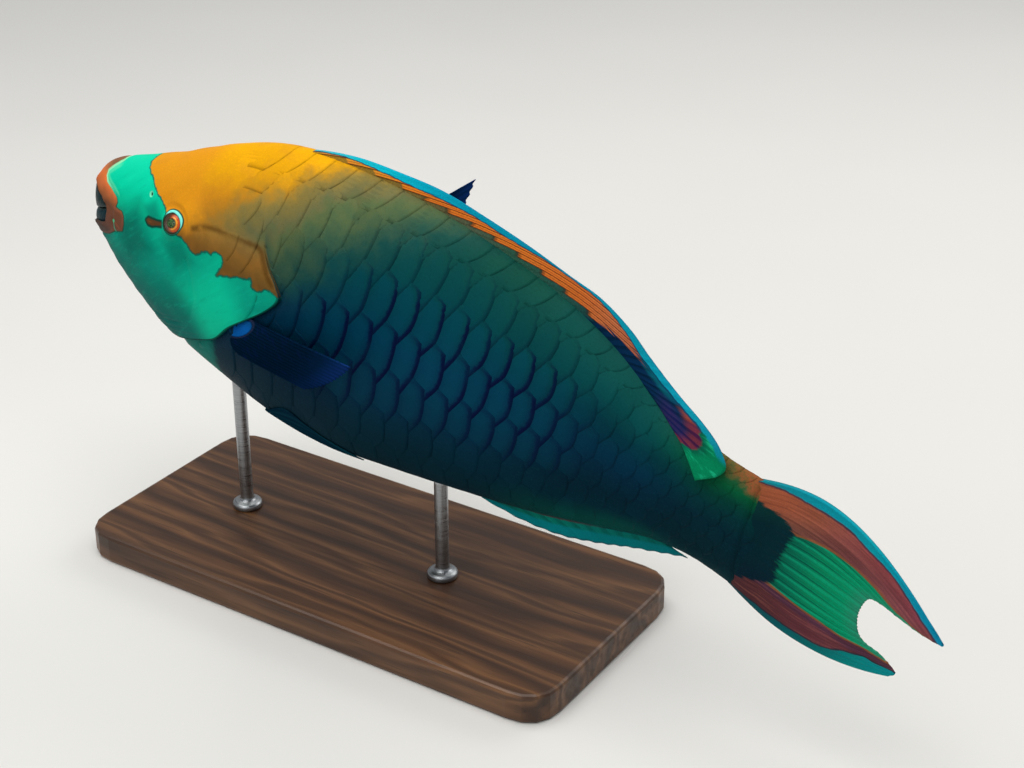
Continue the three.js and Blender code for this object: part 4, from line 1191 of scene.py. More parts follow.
def paint_skin(group, name, is_scale):
    m, t, p = material(name, (0.02, 0.3, 0.35))
    g = t.new("ShaderNodeGroup", node_tree=group)
    col = g.outputs["Color"]
    P = t.vec("fish")
    s, x, z = t.split(P)
    up = t.attr("up")
    grain = t.noise(P, 1.6, 3, 0.6)
    if is_scale:
        line = t.attr("line")
        own = t.attr("own")
        net = t.attr("net")
        wob = t.mul(t.sub(t.noise(P, 0.42, 3, 0.6), 0.5), 2.6)
        lw = t.add(line, wob)
        # each scale a little its own shade, lighter over its middle
        n = t.new("ShaderNodeVectorMath", operation="SCALE")
        t.put(n.inputs[0], col)
        t.put(n.inputs["Scale"], t.add(0.93, t.mul(own, 0.14)))
        col = n.outputs[0]
        core = t.mul(t.mul(t.step(lw, 2.6, 6.5), t.step(lw, 17, 9)), net)
        col = t.mix(t.mul(core, 0.3), col, rgb("#034a5e"))
        broken = t.step(t.noise(P, 0.06, 2, 0.5), 0.25, 0.5, 0.6, 1.0)
        edge = t.mul(t.mul(t.step(lw, 3.3, 1.4), net), broken)
        col = t.mix(t.m("MULTIPLY", edge, 0.9, clamp=True), col, rgb("#050a34"))
        # a thin dark edge everywhere else
        patchy = t.step(t.noise(P, 0.09, 2, 0.5), 0.42, 0.66, 0.0, 1.0)
        thin = t.mul(t.step(lw, 0.95, 0.25), patchy)
        dark = t.mix(0.26, col, rgb("#2a2408"))
        dark = t.mix(t.step(s, 150, 200), dark, t.mix(0.34, col, rgb("#03121e")))
        thin = t.mul(thin, t.step(s, 96, 150, 0.15, 1.0))
        col = t.mix(t.mul(thin, t.inv(edge)), col, dark)
        striae = t.wave(t.join(t.mul(line, 1.0), 0.0, 0.0), 0.55, 1.2, 2)
        height = t.add(t.mul(grain, 0.6), t.mul(striae, 0.2))
    else:
        # mouth: the pale fold and the orange streak in its corner
        col = t.mix(t.step(t.attr("fold"), 0.75, 0.35), col, rgb("#3c8a70"))
        col = t.mix(t.step(t.attr("fold_head"), 1.5, 0.9), col, rgb("#48a878"))
        col = t.mix(t.step(t.attr("streak"), 0.8, 0.3, 0, 0.6), col, rgb("#8a4a34"))
        # nostrils: a pale rim, and painted shade in each opening
        hole = t.attr("nostril")
        col = t.mix(t.step(hole, 1.9, 1.4), col, rgb("#70d8b0"))
        col = t.mix(t.step(hole, 1.15, 0.6), col, rgb("#14402e"))
        # the ring round the eye: broad above and behind, thin below and before
        ring, eu, eb = t.attr("eye_ring"), t.attr("eye_up"), t.attr("eye_back")
        wob = t.mul(t.sub(t.noise(P, 0.5, 2, 0.5), 0.5), 0.3)
        r = t.add(ring, wob)
        turn = t.add(t.mul(eu, 0.95), t.mul(eb, 0.16))
        cy = t.mix(t.step(turn, -0.6, 0.5), rgb("#18a890"), rgb("#7fe8da"))
        cy = t.mix(t.mul(t.step(eb, -0.2, -0.8), t.step(eu, 0.7, 0.1)), cy, rgb("#0e6a54"))
        outer = t.add(6.55, t.mul(t.step(turn, -0.1, 0.85), 1.15))
        gap_ = t.sub(r, outer)
        col = t.mix(t.step(gap_, 0.9, 0.35), col, rgb("#0c4438"))
        col = t.mix(t.step(gap_, 0.12, -0.25), col, cy)
        inner = t.sub(6.35, t.mul(t.step(turn, 0.0, 0.9), 0.35))
        col = t.mix(t.step(t.sub(r, inner), 0.3, -0.2), col, rgb("#2a3020"))
        # painted shade: the inside of the open mouth is painted nearly black
        mouth_shade = t.attr("mouth_shade")
        col = t.mix(mouth_shade, col, rgb("#0d0a0a"))
        pores = t.step(t.voronoi(P, 0.42), 0.0, 0.22, 0.0, 1.0)
        height = t.add(t.mul(grain, 0.6), t.mul(pores, 0.2))
    t.put(p.inputs["Base Color"], col)
    t.put(p.inputs["Roughness"], t.step(grain, 0.3, 0.7, 0.42, 0.58))
    p.inputs["Specular IOR Level"].default_value = GLOSS
    t.put(p.inputs["Normal"], t.bump(height, 0.0002, 0.5))
    return m


def paint_fin(kind):
    m, t, p = material(kind, (0.1, 0.4, 0.4))
    P = t.vec("fish")
    s, x, z = t.split(P)
    ri, rt = t.attr("ri"), t.attr("rt")
    grain = t.noise(P, 1.1, 3, 0.6)
    mid = t.noise(P, 0.2, 3, 0.5)
    wob = t.mul(t.sub(mid, 0.5), 0.16)
    if kind == "fin_dorsal":
        saw = t.m("FRACT", t.attr("ray"))
        tall, cyan, far = t.attr("tall"), t.attr("cyan"), t.attr("far")
        navy_at = t.add(t.attr("navy"), t.mul(t.sub(t.noise(t.join(t.mul(s, 0.03), tall, 0.0), 0.8, 2, 0.5), 0.5), 34))
        fan = t.attr("fan")
        # overlapping spines: bright along the top, a dark line beneath each
        warm = t.ramp(s, [(150, "#eba436"), (190, "#fba834"), (215, "#fb9029"), (240, "#ee812a"), (285, "#e67f2a"),
                          (330, "#d9742f"), (352, "#c9764a"), (376, "#9a5a48")])
        warm = t.mix(t.mul(t.step(saw, 0.1, 0.75), 0.25), warm, rgb("#c85a24"))
        faint = t.mul(t.step(saw, 0.34, 0.42), t.step(saw, 0.56, 0.48))
        warm = t.mix(t.mul(faint, 0.55), warm, rgb("#7a2c16"))
        warm = t.mix(t.mul(t.step(saw, 0.78, 0.86), 0.9), warm, rgb("#4a1a14"))
        sheath = t.ramp(s, [(150, "#c0901f"), (200, "#9a7a30"), (240, "#6e6440"), (262, "#57664f"), (285, "#34604c"),
                            (325, "#2c584e"), (345, "#124044"), (362, "#08323f")])
        sheath = t.mix(t.step(grain, 0.4, 0.7, 0.25, 0), sheath, rgb("#10302c"))
        here = t.sub(t.mul(tall, 6.2), t.mul(t.inv(saw), 15.8))
        col = t.mix(t.step(here, -0.5, 0.8), sheath, warm)
        edge_dark = t.mul(t.step(t.m("ABSOLUTE", here), 2.6, 0.8), t.step(s, 200, 240))
        col = t.mix(t.mul(edge_dark, 0.5), col, rgb("#3a2418"))
        # navy behind, in streaks, with violet in it
        lines = t.m("FRACT", t.add(fan, t.mul(wob, 0.8)))
        navy = t.mix(t.step(lines, 0.25, 0.6), rgb("#03203a"), rgb("#05284a"))
        navy = t.mix(t.mul(t.step(s, 384, 398), t.step(rt, 0.6, 0.3)), navy, t.mix(t.step(lines, 0.3, 0.6), rgb("#181c50"), rgb("#2c2656")))
        col = t.mix(t.step(navy_at, -3, 4), col, navy)
        # magenta, then green with pale rays
        mag = t.mix(t.step(lines, 0.3, 0.55), rgb("#431a40"), rgb("#6a2b3c"))
        farn = t.add(far, t.mul(t.sub(t.noise(t.join(fan, t.mul(rt, 0.6), 0.0), 1.3, 2, 0.5), 0.5), 7))
        col = t.mix(t.mul(t.step(farn, -13, -5), t.step(ri, 0.895, 0.915)), col, mag)
        orange = t.mul(t.mul(t.step(ri, 0.886, 0.9), t.step(ri, 0.925, 0.912)), t.step(farn, -14, -6))
        col = t.mix(t.mul(orange, 0.8), col, rgb("#94452e"))
        light = t.step(t.noise(t.join(t.mul(fan, 1.9), t.mul(rt, 2.0), 0.0), 1.0, 3, 0.6), 0.5, 0.72)
        green = t.mix(light, rgb("#027a50"), rgb("#1cbc88"))
        green = t.mix(t.step(farn, 8, 0, 0, 0.85), green, rgb("#044e3c"))
        col = t.mix(t.mul(t.step(farn, -1, 1), t.step(ri, 0.882, 0.9)), col, green)
        # the cyan edge
        cy = t.ramp(s, [(150, "#5cc0d4"), (180, "#1cd0e4"), (205, "#0cc4dc"), (225, "#06b0cc"), (250, "#069ebc"),
                        (300, "#0692b0"), (360, "#0798ae"), (400, "#0890a8"), (432, "#0a8090")])
        cn = t.add(cyan, t.mul(t.sub(mid, 0.5), 1.2))
        teal = t.mul(t.step(cn, -3.2, -1.2), t.step(navy_at, -2, 10))
        col = t.mix(t.mul(teal, t.step(ri, 0.9, 0.87)), col, rgb("#065868"))
        col = t.mix(t.mul(t.step(cn, -0.7, -0.2), t.step(farn, 2, -1)), col, rgb("#0c3a58"))
        col = t.mix(t.mul(t.step(cn, -0.1, 0.3), t.step(ri, 0.962, 0.948)), col, cy)
        col = t.mix(t.mul(t.mul(t.step(rt, 0.95, 0.99), 0.4), t.step(ri, 0.95, 0.935)), col, rgb("#084a78"))
        lines = t.step(lines, 0.1, 0.5)
    elif kind == "fin_green":
        saw = t.m("FRACT", t.add(t.attr("ray"), wob))
        inner = t.ramp(s, [(292, "#0e4a48"), (340, "#067a6a"), (372, "#067066"), (420, "#056058")])
        inner = t.mix(t.mul(t.step(saw, 0.4, 0.6), 0.35), inner, rgb("#034440"))
        band = t.add(rt, t.mul(t.sub(mid, 0.5), 0.08))
        col = t.mix(t.step(band, 0.12, 0.22), rgb("#123a40"), inner)
        red = t.mul(t.mul(t.step(band, 0.10, 0.14), t.step(band, 0.24, 0.19)), t.step(s, 380, 350))
        col = t.mix(t.mul(red, 0.8), col, rgb("#4a3238"))
        outer = t.ramp(s, [(292, "#046e74"), (345, "#04848a"), (375, "#04767a"), (428, "#056a6e")])
        col = t.mix(t.step(band, 0.40, 0.56), col, outer)
        col = t.mix(t.mul(t.step(band, 0.86, 0.96), 0.8), col, rgb("#1a5a64"))
        lines = t.step(saw, 0.1, 0.5)
    elif kind == "fin_tail":
        du, dl = t.attr("upper"), t.attr("lower")
        cu, cl, db = t.attr("cyan_up"), t.attr("cyan_low"), t.attr("dark")
        rays = t.mul(ri, 15)
        saw = t.m("FRACT", t.add(rays, t.mul(wob, 0.5)))
        fork = t.m("FRACT", t.add(t.mul(ri, 45), t.mul(wob, 1.5)))
        green = t.ramp(rt, [(0.25, "#04553f"), (0.36, "#046a50"), (0.46, "#047c58"), (0.56, "#04875c"), (0.68, "#048d60"),
                            (0.85, "#049466"), (1, "#2c8c6c")])
        pale = t.mul(t.step(saw, 0.6, 0.75), t.step(saw, 1.0, 0.85))
        green = t.mix(t.mul(pale, 0.3), green, rgb("#18b888"))
        main = t.mul(t.step(saw, 0.38, 0.46), t.step(saw, 0.56, 0.49))
        green = t.mix(t.mul(main, t.step(rt, 0.85, 0.5, 0.25, 0.95)), green, rgb("#03443a"))
        green = t.mix(t.mul(t.step(fork, 0.3, 0.5), t.step(rt, 0.4, 0.65, 0.35, 0.12)), green, rgb("#035844"))
        red = t.ramp(rt, [(0, "#8c4c2e"), (0.13, "#a2563a"), (0.3, "#9a5640"), (0.45, "#96504a"), (0.6, "#96484a"),
                          (0.78, "#9c474e"), (0.9, "#a04456"), (1, "#a85044")])
        red = t.mix(t.step(du, -12, -3, 0, 0.7), red, t.ramp(rt, [(0.1, "#4a3b36"), (0.4, "#65403a"), (0.7, "#6c4344"), (1, "#74464e")]))
        low = t.ramp(rt, [(0, "#4c2a2e"), (0.25, "#582e32"), (0.45, "#65343b"), (0.6, "#6d3a40"), (0.8, "#68343a"), (1, "#5a3632")])
        low = t.mix(t.step(t.m("ABSOLUTE", t.sub(dl, 3)), 3, 0.6, 0, 0.6), low, rgb("#47304a"))
        red = t.mix(t.step(ri, 0.48, 0.52), red, low)
        streak = t.noise(t.join(t.mul(ri, 60), t.mul(rt, 3.0), 0.0), 1.0, 3, 0.6)
        red = t.mix(t.step(streak, 0.42, 0.7, 0, 0.4), red, rgb("#43201f"))
        red = t.mix(t.step(streak, 0.5, 0.25, 0, 0.3), red, rgb("#b06a56"))
        lobe = t.m("MAXIMUM", t.step(t.sub(0.0, du), -0.3, 0.3), t.step(dl, -0.3, 0.3))
        col = t.mix(lobe, green, red)
        rim = t.m("MINIMUM", t.m("ABSOLUTE", t.add(du, 0.6)), t.m("ABSOLUTE", t.sub(dl, 0.4)))
        col = t.mix(t.mul(t.step(rim, 1.0, 0.4), 0.75), col, rgb("#8c5634"))
        fine_ = t.noise(P, 0.9, 3, 0.6)
        ragged = t.noise(t.join(t.mul(ri, 55), t.mul(rt, 7), 0.0), 1.0, 3, 0.6)
        base = t.step(t.add(db, t.add(t.mul(t.sub(ragged, 0.5), 11), t.mul(wob, 30))), -1.5, 1.6)
        dark = t.mix(t.step(ri, 0.5, 0.8), rgb("#04262e"), rgb("#061f2c"))
        dark = t.mix(t.step(ri, 0.34, 0.18), dark, rgb("#08302e"))
        dark = t.mix(t.step(fine_, 0.5, 0.8, 0, 0.35), dark, rgb("#0c4650"))
        col = t.mix(base, col, dark)
        cyn = t.mul(t.sub(mid, 0.5), 1.0)
        col = t.mix(t.mul(t.step(t.add(cu, cyn), -0.9, -0.3), 0.85), col, rgb("#2c2c40"))
        col = t.mix(t.mul(t.step(t.add(cl, cyn), -0.9, -0.3), 0.85), col, rgb("#142c3a"))
        col = t.mix(t.step(t.add(cu, cyn), -0.2, 0.25), col, t.ramp(rt, [(0, "#157a84"), (0.25, "#0a8fa0"), (0.6, "#0698a6"), (1, "#0a8ab0")]))
        col = t.mix(t.step(t.add(cl, cyn), -0.2, 0.25), col, t.ramp(rt, [(0.1, "#164a50"), (0.3, "#0d565c"), (0.55, "#0b6a6a"), (0.75, "#068480"), (1, "#078a90")]))
        lines = t.step(saw, 0.1, 0.5)
    elif kind == "fin_pectoral":
        saw = t.m("FRACT", t.add(t.mul(ri, 13), t.mul(wob, 0.5)))
        body = t.mix(t.step(saw, 0.25, 0.6), rgb("#021326"), rgb("#03182e"))
        body = t.mix(t.mul(t.step(mid, 0.5, 0.7), 0.4), body, rgb("#0a1848"))
        col = t.mix(t.mul(t.step(rt, 0.62, 0.97), t.step(ri, 0.75, 0.1, 0.3, 0.8)), body, rgb("#07264c"))
        clear = t.mul(t.step(rt, 0.8, 0.97), t.step(ri, 0.9, 0.3, 0.3, 1.0))
        col = t.mix(t.mul(clear, t.step(saw, 0.3, 0.6, 0.4, 0.9)), col, rgb("#102c66"))
        pa, pb = t.mul(t.sub(ri, 0.33), 3.7), t.mul(t.sub(rt, 0.07), 11.5)
        oval = t.add(t.mul(pa, pa), t.mul(pb, pb))
        patch = t.step(oval, 1.15, 0.75)
        col = t.mix(patch, col, t.mix(t.step(ri, 0.05, 0.3), rgb("#0a4880"), rgb("#0b539c")))
        col = t.mix(t.mul(t.step(t.m("ABSOLUTE", t.sub(oval, 1.3)), 0.3, 0.1), 0.3), col, rgb("#3a3c58"))
        lines = t.step(saw, 0.1, 0.5)
    else:                                                      # pelvic
        saw = t.m("FRACT", t.add(t.mul(ri, 6), t.mul(wob, 0.5)))
        col = t.mix(t.step(saw, 0.3, 0.6), rgb("#0b2f3e"), rgb("#082636"))
        col = t.mix(t.mul(t.step(ri, 0.12, 0.04), t.step(rt, 0.7, 0.3, 0.3, 1.0)), col, rgb("#0a7a6c"))
        col = t.mix(t.mul(t.step(rt, 0.85, 0.97), 0.4), col, rgb("#0c4e5a"))
        lines = t.step(saw, 0.1, 0.5)
    col = t.mix(t.step(grain, 0.35, 0.7, 0.16, 0.0), col, rgb("#06202c"))
    t.put(p.inputs["Base Color"], col)
    t.put(p.inputs["Roughness"], t.step(grain, 0.3, 0.7, 0.38, 0.52))
    p.inputs["Specular IOR Level"].default_value = 0.0 if kind in ("fin_pectoral", "fin_pelvic") else GLOSS
    fibre = t.wave(t.join(t.mul(rt, 9.0), 0.0, 0.0), 2.2, 1.5, 2)
    t.put(p.inputs["Normal"], t.bump(t.add(t.mul(grain, 0.7), t.mul(fibre, 0.12)), 0.0002, 0.5))
    return m


def paint_eye():
    m, t, p = material("eye_gloss", (0.5, 0.2, 0.05))
    r = t.attr("er")
    a = t.attr("ea")
    P = t.vec("fish")
    n = t.noise(P, 1.1, 3, 0.6)
    wob = t.mul(t.sub(n, 0.5), 0.9)
    rw = t.add(r, wob)
    iris = t.mix(t.step(a, -0.6, 0.6), rgb("#34200e"), rgb("#cc4e16"))
    spots = t.step(t.noise(P, 1.9, 2, 0.6), 0.52, 0.62)
    iris = t.mix(t.mul(spots, 0.45), iris, rgb("#7c3c14"))
    gold = t.mul(t.step(t.m("ABSOLUTE", t.sub(rw, 3.4)), 0.7, 0.2), t.step(a, -0.2, 0.7))
    iris = t.mix(t.mul(gold, 0.8), iris, rgb("#f0a830"))
    col = t.mix(t.step(rw, 4.7, 5.4), iris, rgb("#3a2a18"))
    pupil = t.mix(t.step(t.noise(P, 1.4, 2, 0.6), 0.42, 0.62), rgb("#143420"), rgb("#44703c"))
    specks = t.step(t.noise(P, 2.3, 1, 0.5), 0.62, 0.70)
    pupil = t.mix(t.mul(specks, 0.7), pupil, rgb("#a86a34"))
    col = t.mix(t.step(rw, 2.9, 2.5), col, pupil)
    col = t.mix(t.mul(t.step(t.m("ABSOLUTE", t.sub(rw, 2.8)), 0.35, 0.1), 0.6), col, rgb("#1c1408"))
    t.put(p.inputs["Base Color"], col)
    t.put(p.inputs["Roughness"], t.step(n, 0.3, 0.7, 0.16, 0.26))
    p.inputs["Specular IOR Level"].default_value = 0.2
    p.inputs["Coat Weight"].default_value = 0.15
    p.inputs["Coat Roughness"].default_value = 0.06
    t.put(p.inputs["Normal"], t.bump(n, 0.00012, 0.4))
    return m


def paint_tooth():
    m, t, p = material("tooth_enamel", (0.05, 0.2, 0.22))
    P = t.vec("fish")
    s, x, z = t.split(P)
    n = t.noise(P, 0.5, 3, 0.6)
    cells = t.voronoi(t.vscale(P, (1, 1, 0.6)), 0.55)
    # painted shade: both plates' blue-green is painted very dark, and the upper plate, beneath the lip, darker still
    low = t.mix(t.step(n, 0.3, 0.7), rgb("#05181f"), rgb("#0a232c"))
    high = t.mix(t.step(n, 0.3, 0.7), rgb("#030909"), rgb("#06100f"))
    cut = t.attr("cut")
    col = t.mix(t.step(t.attr("plate"), -0.3, 0.3), low, high)
    col = t.mix(t.step(cells, 0.1, 0.6, 0.0, 0.22), col, rgb("#1c4c52"))
    col = t.mix(t.step(cut, 0.86, 1.0, 0, 0.3), col, rgb("#5c7468"))
    t.put(p.inputs["Base Color"], col)
    t.put(p.inputs["Roughness"], t.step(n, 0.3, 0.7, 0.3, 0.45))
    p.inputs["Specular IOR Level"].default_value = 0.04
    t.put(p.inputs["Normal"], t.bump(t.add(n, t.mul(cells, 0.8)), 0.0003, 0.6))
    return m


def paint_wood():
    m, t, p = material("stand_walnut", (0.2, 0.1, 0.05))
    c = t.new("ShaderNodeTexCoord").outputs["Object"]
    long = t.vscale(c, (9.0, 1.1, 9.0))
    warp = t.noise(long, 1.6, 4, 0.55)
    x, y, z = t.split(long)
    rings = t.wave(t.join(t.add(x, t.mul(warp, 1.1)), t.mul(y, 0.3), t.mul(z, 0.6)), 1.15, 1.3, 3)
    pores = t.noise(t.vscale(c, (900, 26, 900)), 1.0, 2, 0.6)
    fine = t.noise(t.vscale(c, (160, 5, 160)), 1.0, 3, 0.6)
    col = t.ramp(rings, [(0, "#3a2415"), (0.45, "#5a3a22"), (0.8, "#6d4a2d"), (1, "#4a2f1c")])
    col = t.mix(t.step(fine, 0.35, 0.7, 0, 0.5), col, rgb("#2e1b10"))
    col = t.mix(t.step(pores, 0.6, 0.72, 0, 0.6), col, rgb("#1d110a"))
    t.put(p.inputs["Base Color"], col)
    t.put(p.inputs["Roughness"], t.step(fine, 0.3, 0.7, 0.34, 0.5))
    p.inputs["Specular IOR Level"].default_value = 0.4
    t.put(p.inputs["Normal"], t.bump(t.add(t.mul(pores, 0.5), t.mul(rings, 0.3)), 0.00025, 0.4))
    return m


def paint_steel():
    m, t, p = material("stand_steel", (0.5, 0.5, 0.5))
    c = t.new("ShaderNodeTexCoord").outputs["Object"]
    n = t.noise(t.vscale(c, (60, 60, 2200)), 1.0, 3, 0.6)
    big = t.noise(c, 26, 3, 0.5)
    col = t.mix(t.step(n, 0.3, 0.7), rgb("#8c8f92"), rgb("#a9acae"))
    col = t.mix(t.step(big, 0.45, 0.75, 0, 0.3), col, rgb("#6f7378"))
    t.put(p.inputs["Base Color"], col)
    p.inputs["Metallic"].default_value = 1.0
    t.put(p.inputs["Roughness"], t.step(n, 0.3, 0.7, 0.26, 0.42))
    t.put(p.inputs["Normal"], t.bump(n, 0.00006, 0.4))
    return m


def paint_floor():
    m, t, p = material("studio_floor", (0.8, 0.8, 0.8))
    c = t.new("ShaderNodeTexCoord").outputs["Object"]
    n = t.noise(c, 3.0, 2, 0.5)
    t.put(p.inputs["Base Color"], t.mix(n, rgb("#d2d1ce"), rgb("#d8d7d4")))
    p.inputs["Roughness"].default_value = 0.8
    p.inputs["Specular IOR Level"].default_value = 0.15
    return m


# ==================================================================== build
rng = np.random.default_rng(7)
group = markings_group()
skin_mat = paint_skin(group, "skin_paint", False)
scale_mat = paint_skin(group, "scale_paint", True)
skin = build_skin(skin_mat)
LAST = len(ROW_G) - 1
build_scales("scales_left", lambda s0, j, d, e: 0 < j < LAST and s0 >= e + 2.5, scale_mat, rng)
build_scales("scales_right", lambda s0, j, d, e: -LAST < j < 0 and s0 >= e + 2.5, scale_mat, rng)
build_scales("scales_midline", lambda s0, j, d, e: (j == 0 or j == LAST) and s0 >= e + 2.5, scale_mat, rng)
build_scales("scales_head", lambda s0, j, d, e: s0 < e + 2.5, scale_mat, rng)

dorsal_mat, green_mat = paint_fin("fin_dorsal"), paint_fin("fin_green")
tail_mat, pec_mat, pel_mat = paint_fin("fin_tail"), paint_fin("fin_pectoral"), paint_fin("fin_pelvic")
build_dorsal(dorsal_mat)
median_fin("anal_fin_web", (292, 405, 297, 427), ANAL_EDGE, body_bottom, -1, 260, 11, 2.2, green_mat, "fin_green")


def tail_thick(i, t):
    edge = np.abs(2 * i - 1)
    solid = lerp(lerp(12.0, 4.2, edge ** 2.2), 0.9, t ** 0.42)
    ray = ridge(i * 15 + 0.05) * (1 - smooth(0.55, 0.8, t)) + ridge(i * 30) * smooth(0.5, 0.75, t)
    thin = solid * (0.86 - 0.1 * smooth(0.2, 1, t)) + 0.75 * ray * smooth(0.12, 0.3, t) * (1 - 0.45 * t)
    return np.maximum(thin, 2 * root_half(lerp(34.2, -30.8, i), t))


def tail_edge(i, t):
    P = tail_point(i, t)
    # short notches between the tips of the branched rays
    notch = 0.4 * (1 - ridge(i * 45, 1)) * smooth(0.93, 1.0, t) * smooth(0.08, 0.14, i) * (1 - smooth(0.88, 0.94, i))
    P[..., 0] -= notch
    return P


# borders of the tail fin's colours, [share of the ray's length, share of the fan]
TAIL_UPPER = np.array([[0, .34], [.2, .318], [.317, .299], [.405, .265], [.512, .235], [.654, .213], [.796, .207],
                       [.9, .213], [.935, .203], [.985, .165], [1, .12]])
TAIL_LOWER = np.array([[0, .70], [.28, .721], [.37, .729], [.484, .743], [.621, .76], [.739, .796], [.879, .801],
                       [.983, .849], [1, .86]])
TAIL_CYAN_UP = np.array([[0, 0], [.04, .012], [.1, .020], [.2, .038], [.3, .040], [.42, .034], [.55, .045], [.67, .039],
                         [.78, .057], [.9, .082], [1, .085]])
TAIL_CYAN_LOW = np.array([[0, .985], [.135, .968], [.29, .960], [.434, .958], [.554, .957], [.67, .912], [.82, .884],
                          [.92, .905], [.987, .92], [1, .93]])
TAIL_DARK = np.array([[0, -.1], [.1, -.03], [.15, .05], [.2, .15], [.26, .25], [.30, .317], [.41, .316], [.5, .307],
                      [.6, .303], [.68, .29], [.72, .255], [.78, .15], [.85, .05], [.9, -.03], [1, -.1]])


def tail_extra(i, t, P):
    def at(tab, v):
        return np.interp(v, tab[:, 0], tab[:, 1])
    width = 62.0
    return {"ray": i * 15, "upper": (i - at(TAIL_UPPER, t)) * width, "lower": (i - at(TAIL_LOWER, t)) * width,
            "cyan_up": (at(TAIL_CYAN_UP, t) - i) * width, "cyan_low": (i - at(TAIL_CYAN_LOW, t)) * width,
            "dark": (at(TAIL_DARK, i) - t) * 80.0}


build_blade("caudal_fin_web", 380, 96, tail_edge, tail_thick, tail_mat, "fin_tail", "caudal_fin", tail_extra)
for side, word in ((1, "left"), (-1, "right")):
    fan = pectoral_point(side)

    def fan_edge(i, t, fan=fan):
        P = fan(i, t)
        back = fan(i, np.minimum(t, 0.97))
        notch = 0.5 * (1 - ridge(i * 13, 1)) * smooth(0.95, 1, t)
        return lerp(P, back, notch[..., None])

    build_blade(f"pectoral_fin_{word}_fan", 208, 60, fan_edge,
                lambda i, t: lerp(4.6, 0.7, t ** .4) * lerp(1, .75, i) + 0.26 * ridge(i * 13) * smooth(0.05, 0.2, t) * (1 - .5 * t),
                pec_mat, "fin_navy", f"pectoral_fin_{word}", lambda i, t, P: {"ray": i * 13})
    build_blade(f"pelvic_fin_{word}_fan", 96, 60, pelvic_point(side),
                lambda i, t: lerp(1.2, 0.55, t) + 0.3 * ridge(i * 6) * (1 - .5 * t),
                pel_mat, "fin_green", f"pelvic_fin_{word}", lambda i, t, P: {"ray": i * 6})


# --------------------------------------------------------------------- eyes
def build_eye(side, word, mat):
    """A turned ball: a domed pupil in a shallow iris, with a raised rim."""
    C, A = EYE_C * [1, side, 1], GAZE * [1, side, 1]
    e1 = np.cross(A, [0, 0, 1.0])
    e1 /= np.linalg.norm(e1)
    e2 = np.cross(e1, A)
    n_r, n_a = 72, 96
    th = np.linspace(0, np.pi, n_r + 1)[1:-1]
    ph = np.linspace(0, 2 * np.pi, n_a, endpoint=False)
    T, F = np.meshgrid(th, ph, indexing="ij")
    rad = EYE["radius"] * np.sin(T)
    R = EYE["radius"] + np.where(T < np.pi / 2, 0.16 * gauss(rad - 3.0, 0.35) - 0.22 * gauss(rad - 4.6, 1.0) + 0.1 * gauss(rad, 2.2), 0)
    R = R + np.where(T < 1.2, 0.03 * np.cos(40 * F) * smooth(3.2, 4.2, rad) * (1 - smooth(5.2, 6, rad)), 0)
    d = np.cos(T)[..., None] * A + np.sin(T)[..., None] * (np.cos(F)[..., None] * e1 + np.sin(F)[..., None] * e2)
    pts = (C + R[..., None] * d).reshape(-1, 3)
    m, n = T.shape
    idx = np.arange(m * n).reshape(m, n)
    nxt = np.roll(idx, -1, 1)
    q = np.stack([idx[:-1], idx[1:], nxt[1:], nxt[:-1]], -1).reshape(-1, 4)
    pts = np.vstack([pts, C + A * (EYE["radius"] + 0.1), C - A * EYE["radius"]])
    a, b = m * n, m * n + 1
    cap = [[idx[0, (i + 2) % n], a, idx[0, i], idx[0, (i + 1) % n]] for i in range(0, n, 2)]
    cap2 = [[idx[-1, i], b, idx[-1, (i + 2) % n], idx[-1, (i + 1) % n]] for i in range(0, n, 2)]
    faces = np.vstack([q, cap, cap2])
    er = np.r_[np.where(T < np.pi / 2, rad, 20).ravel(), 0, 20]
    # backward share: the iris is darker toward the snout
    ea = np.r_[((d @ np.array([1.0, 0, 0.15])) / np.maximum(np.sin(T), 0.05)).ravel(), 0, 0]
    z = np.clip(T / np.pi, 0, 1)
    disc = np.stack([0.5 + 0.48 * z * np.cos(F), 0.5 + 0.48 * z * np.sin(F)], -1).reshape(-1, 2)
    disc = np.vstack([disc, [0.5, 0.5], [0.99, 0.5]])
    o = make(f"eye_{word}_ball", pts, faces, mat, {"fish": pts, "er": er, "ea": ea}, disc[faces])
    fix_outward(o)
    return attach(o, "eye", f"eye_{word}")


eye_mat = paint_eye()
for side, word in ((1, "left"), (-1, "right")):
    build_eye(side, word, eye_mat)


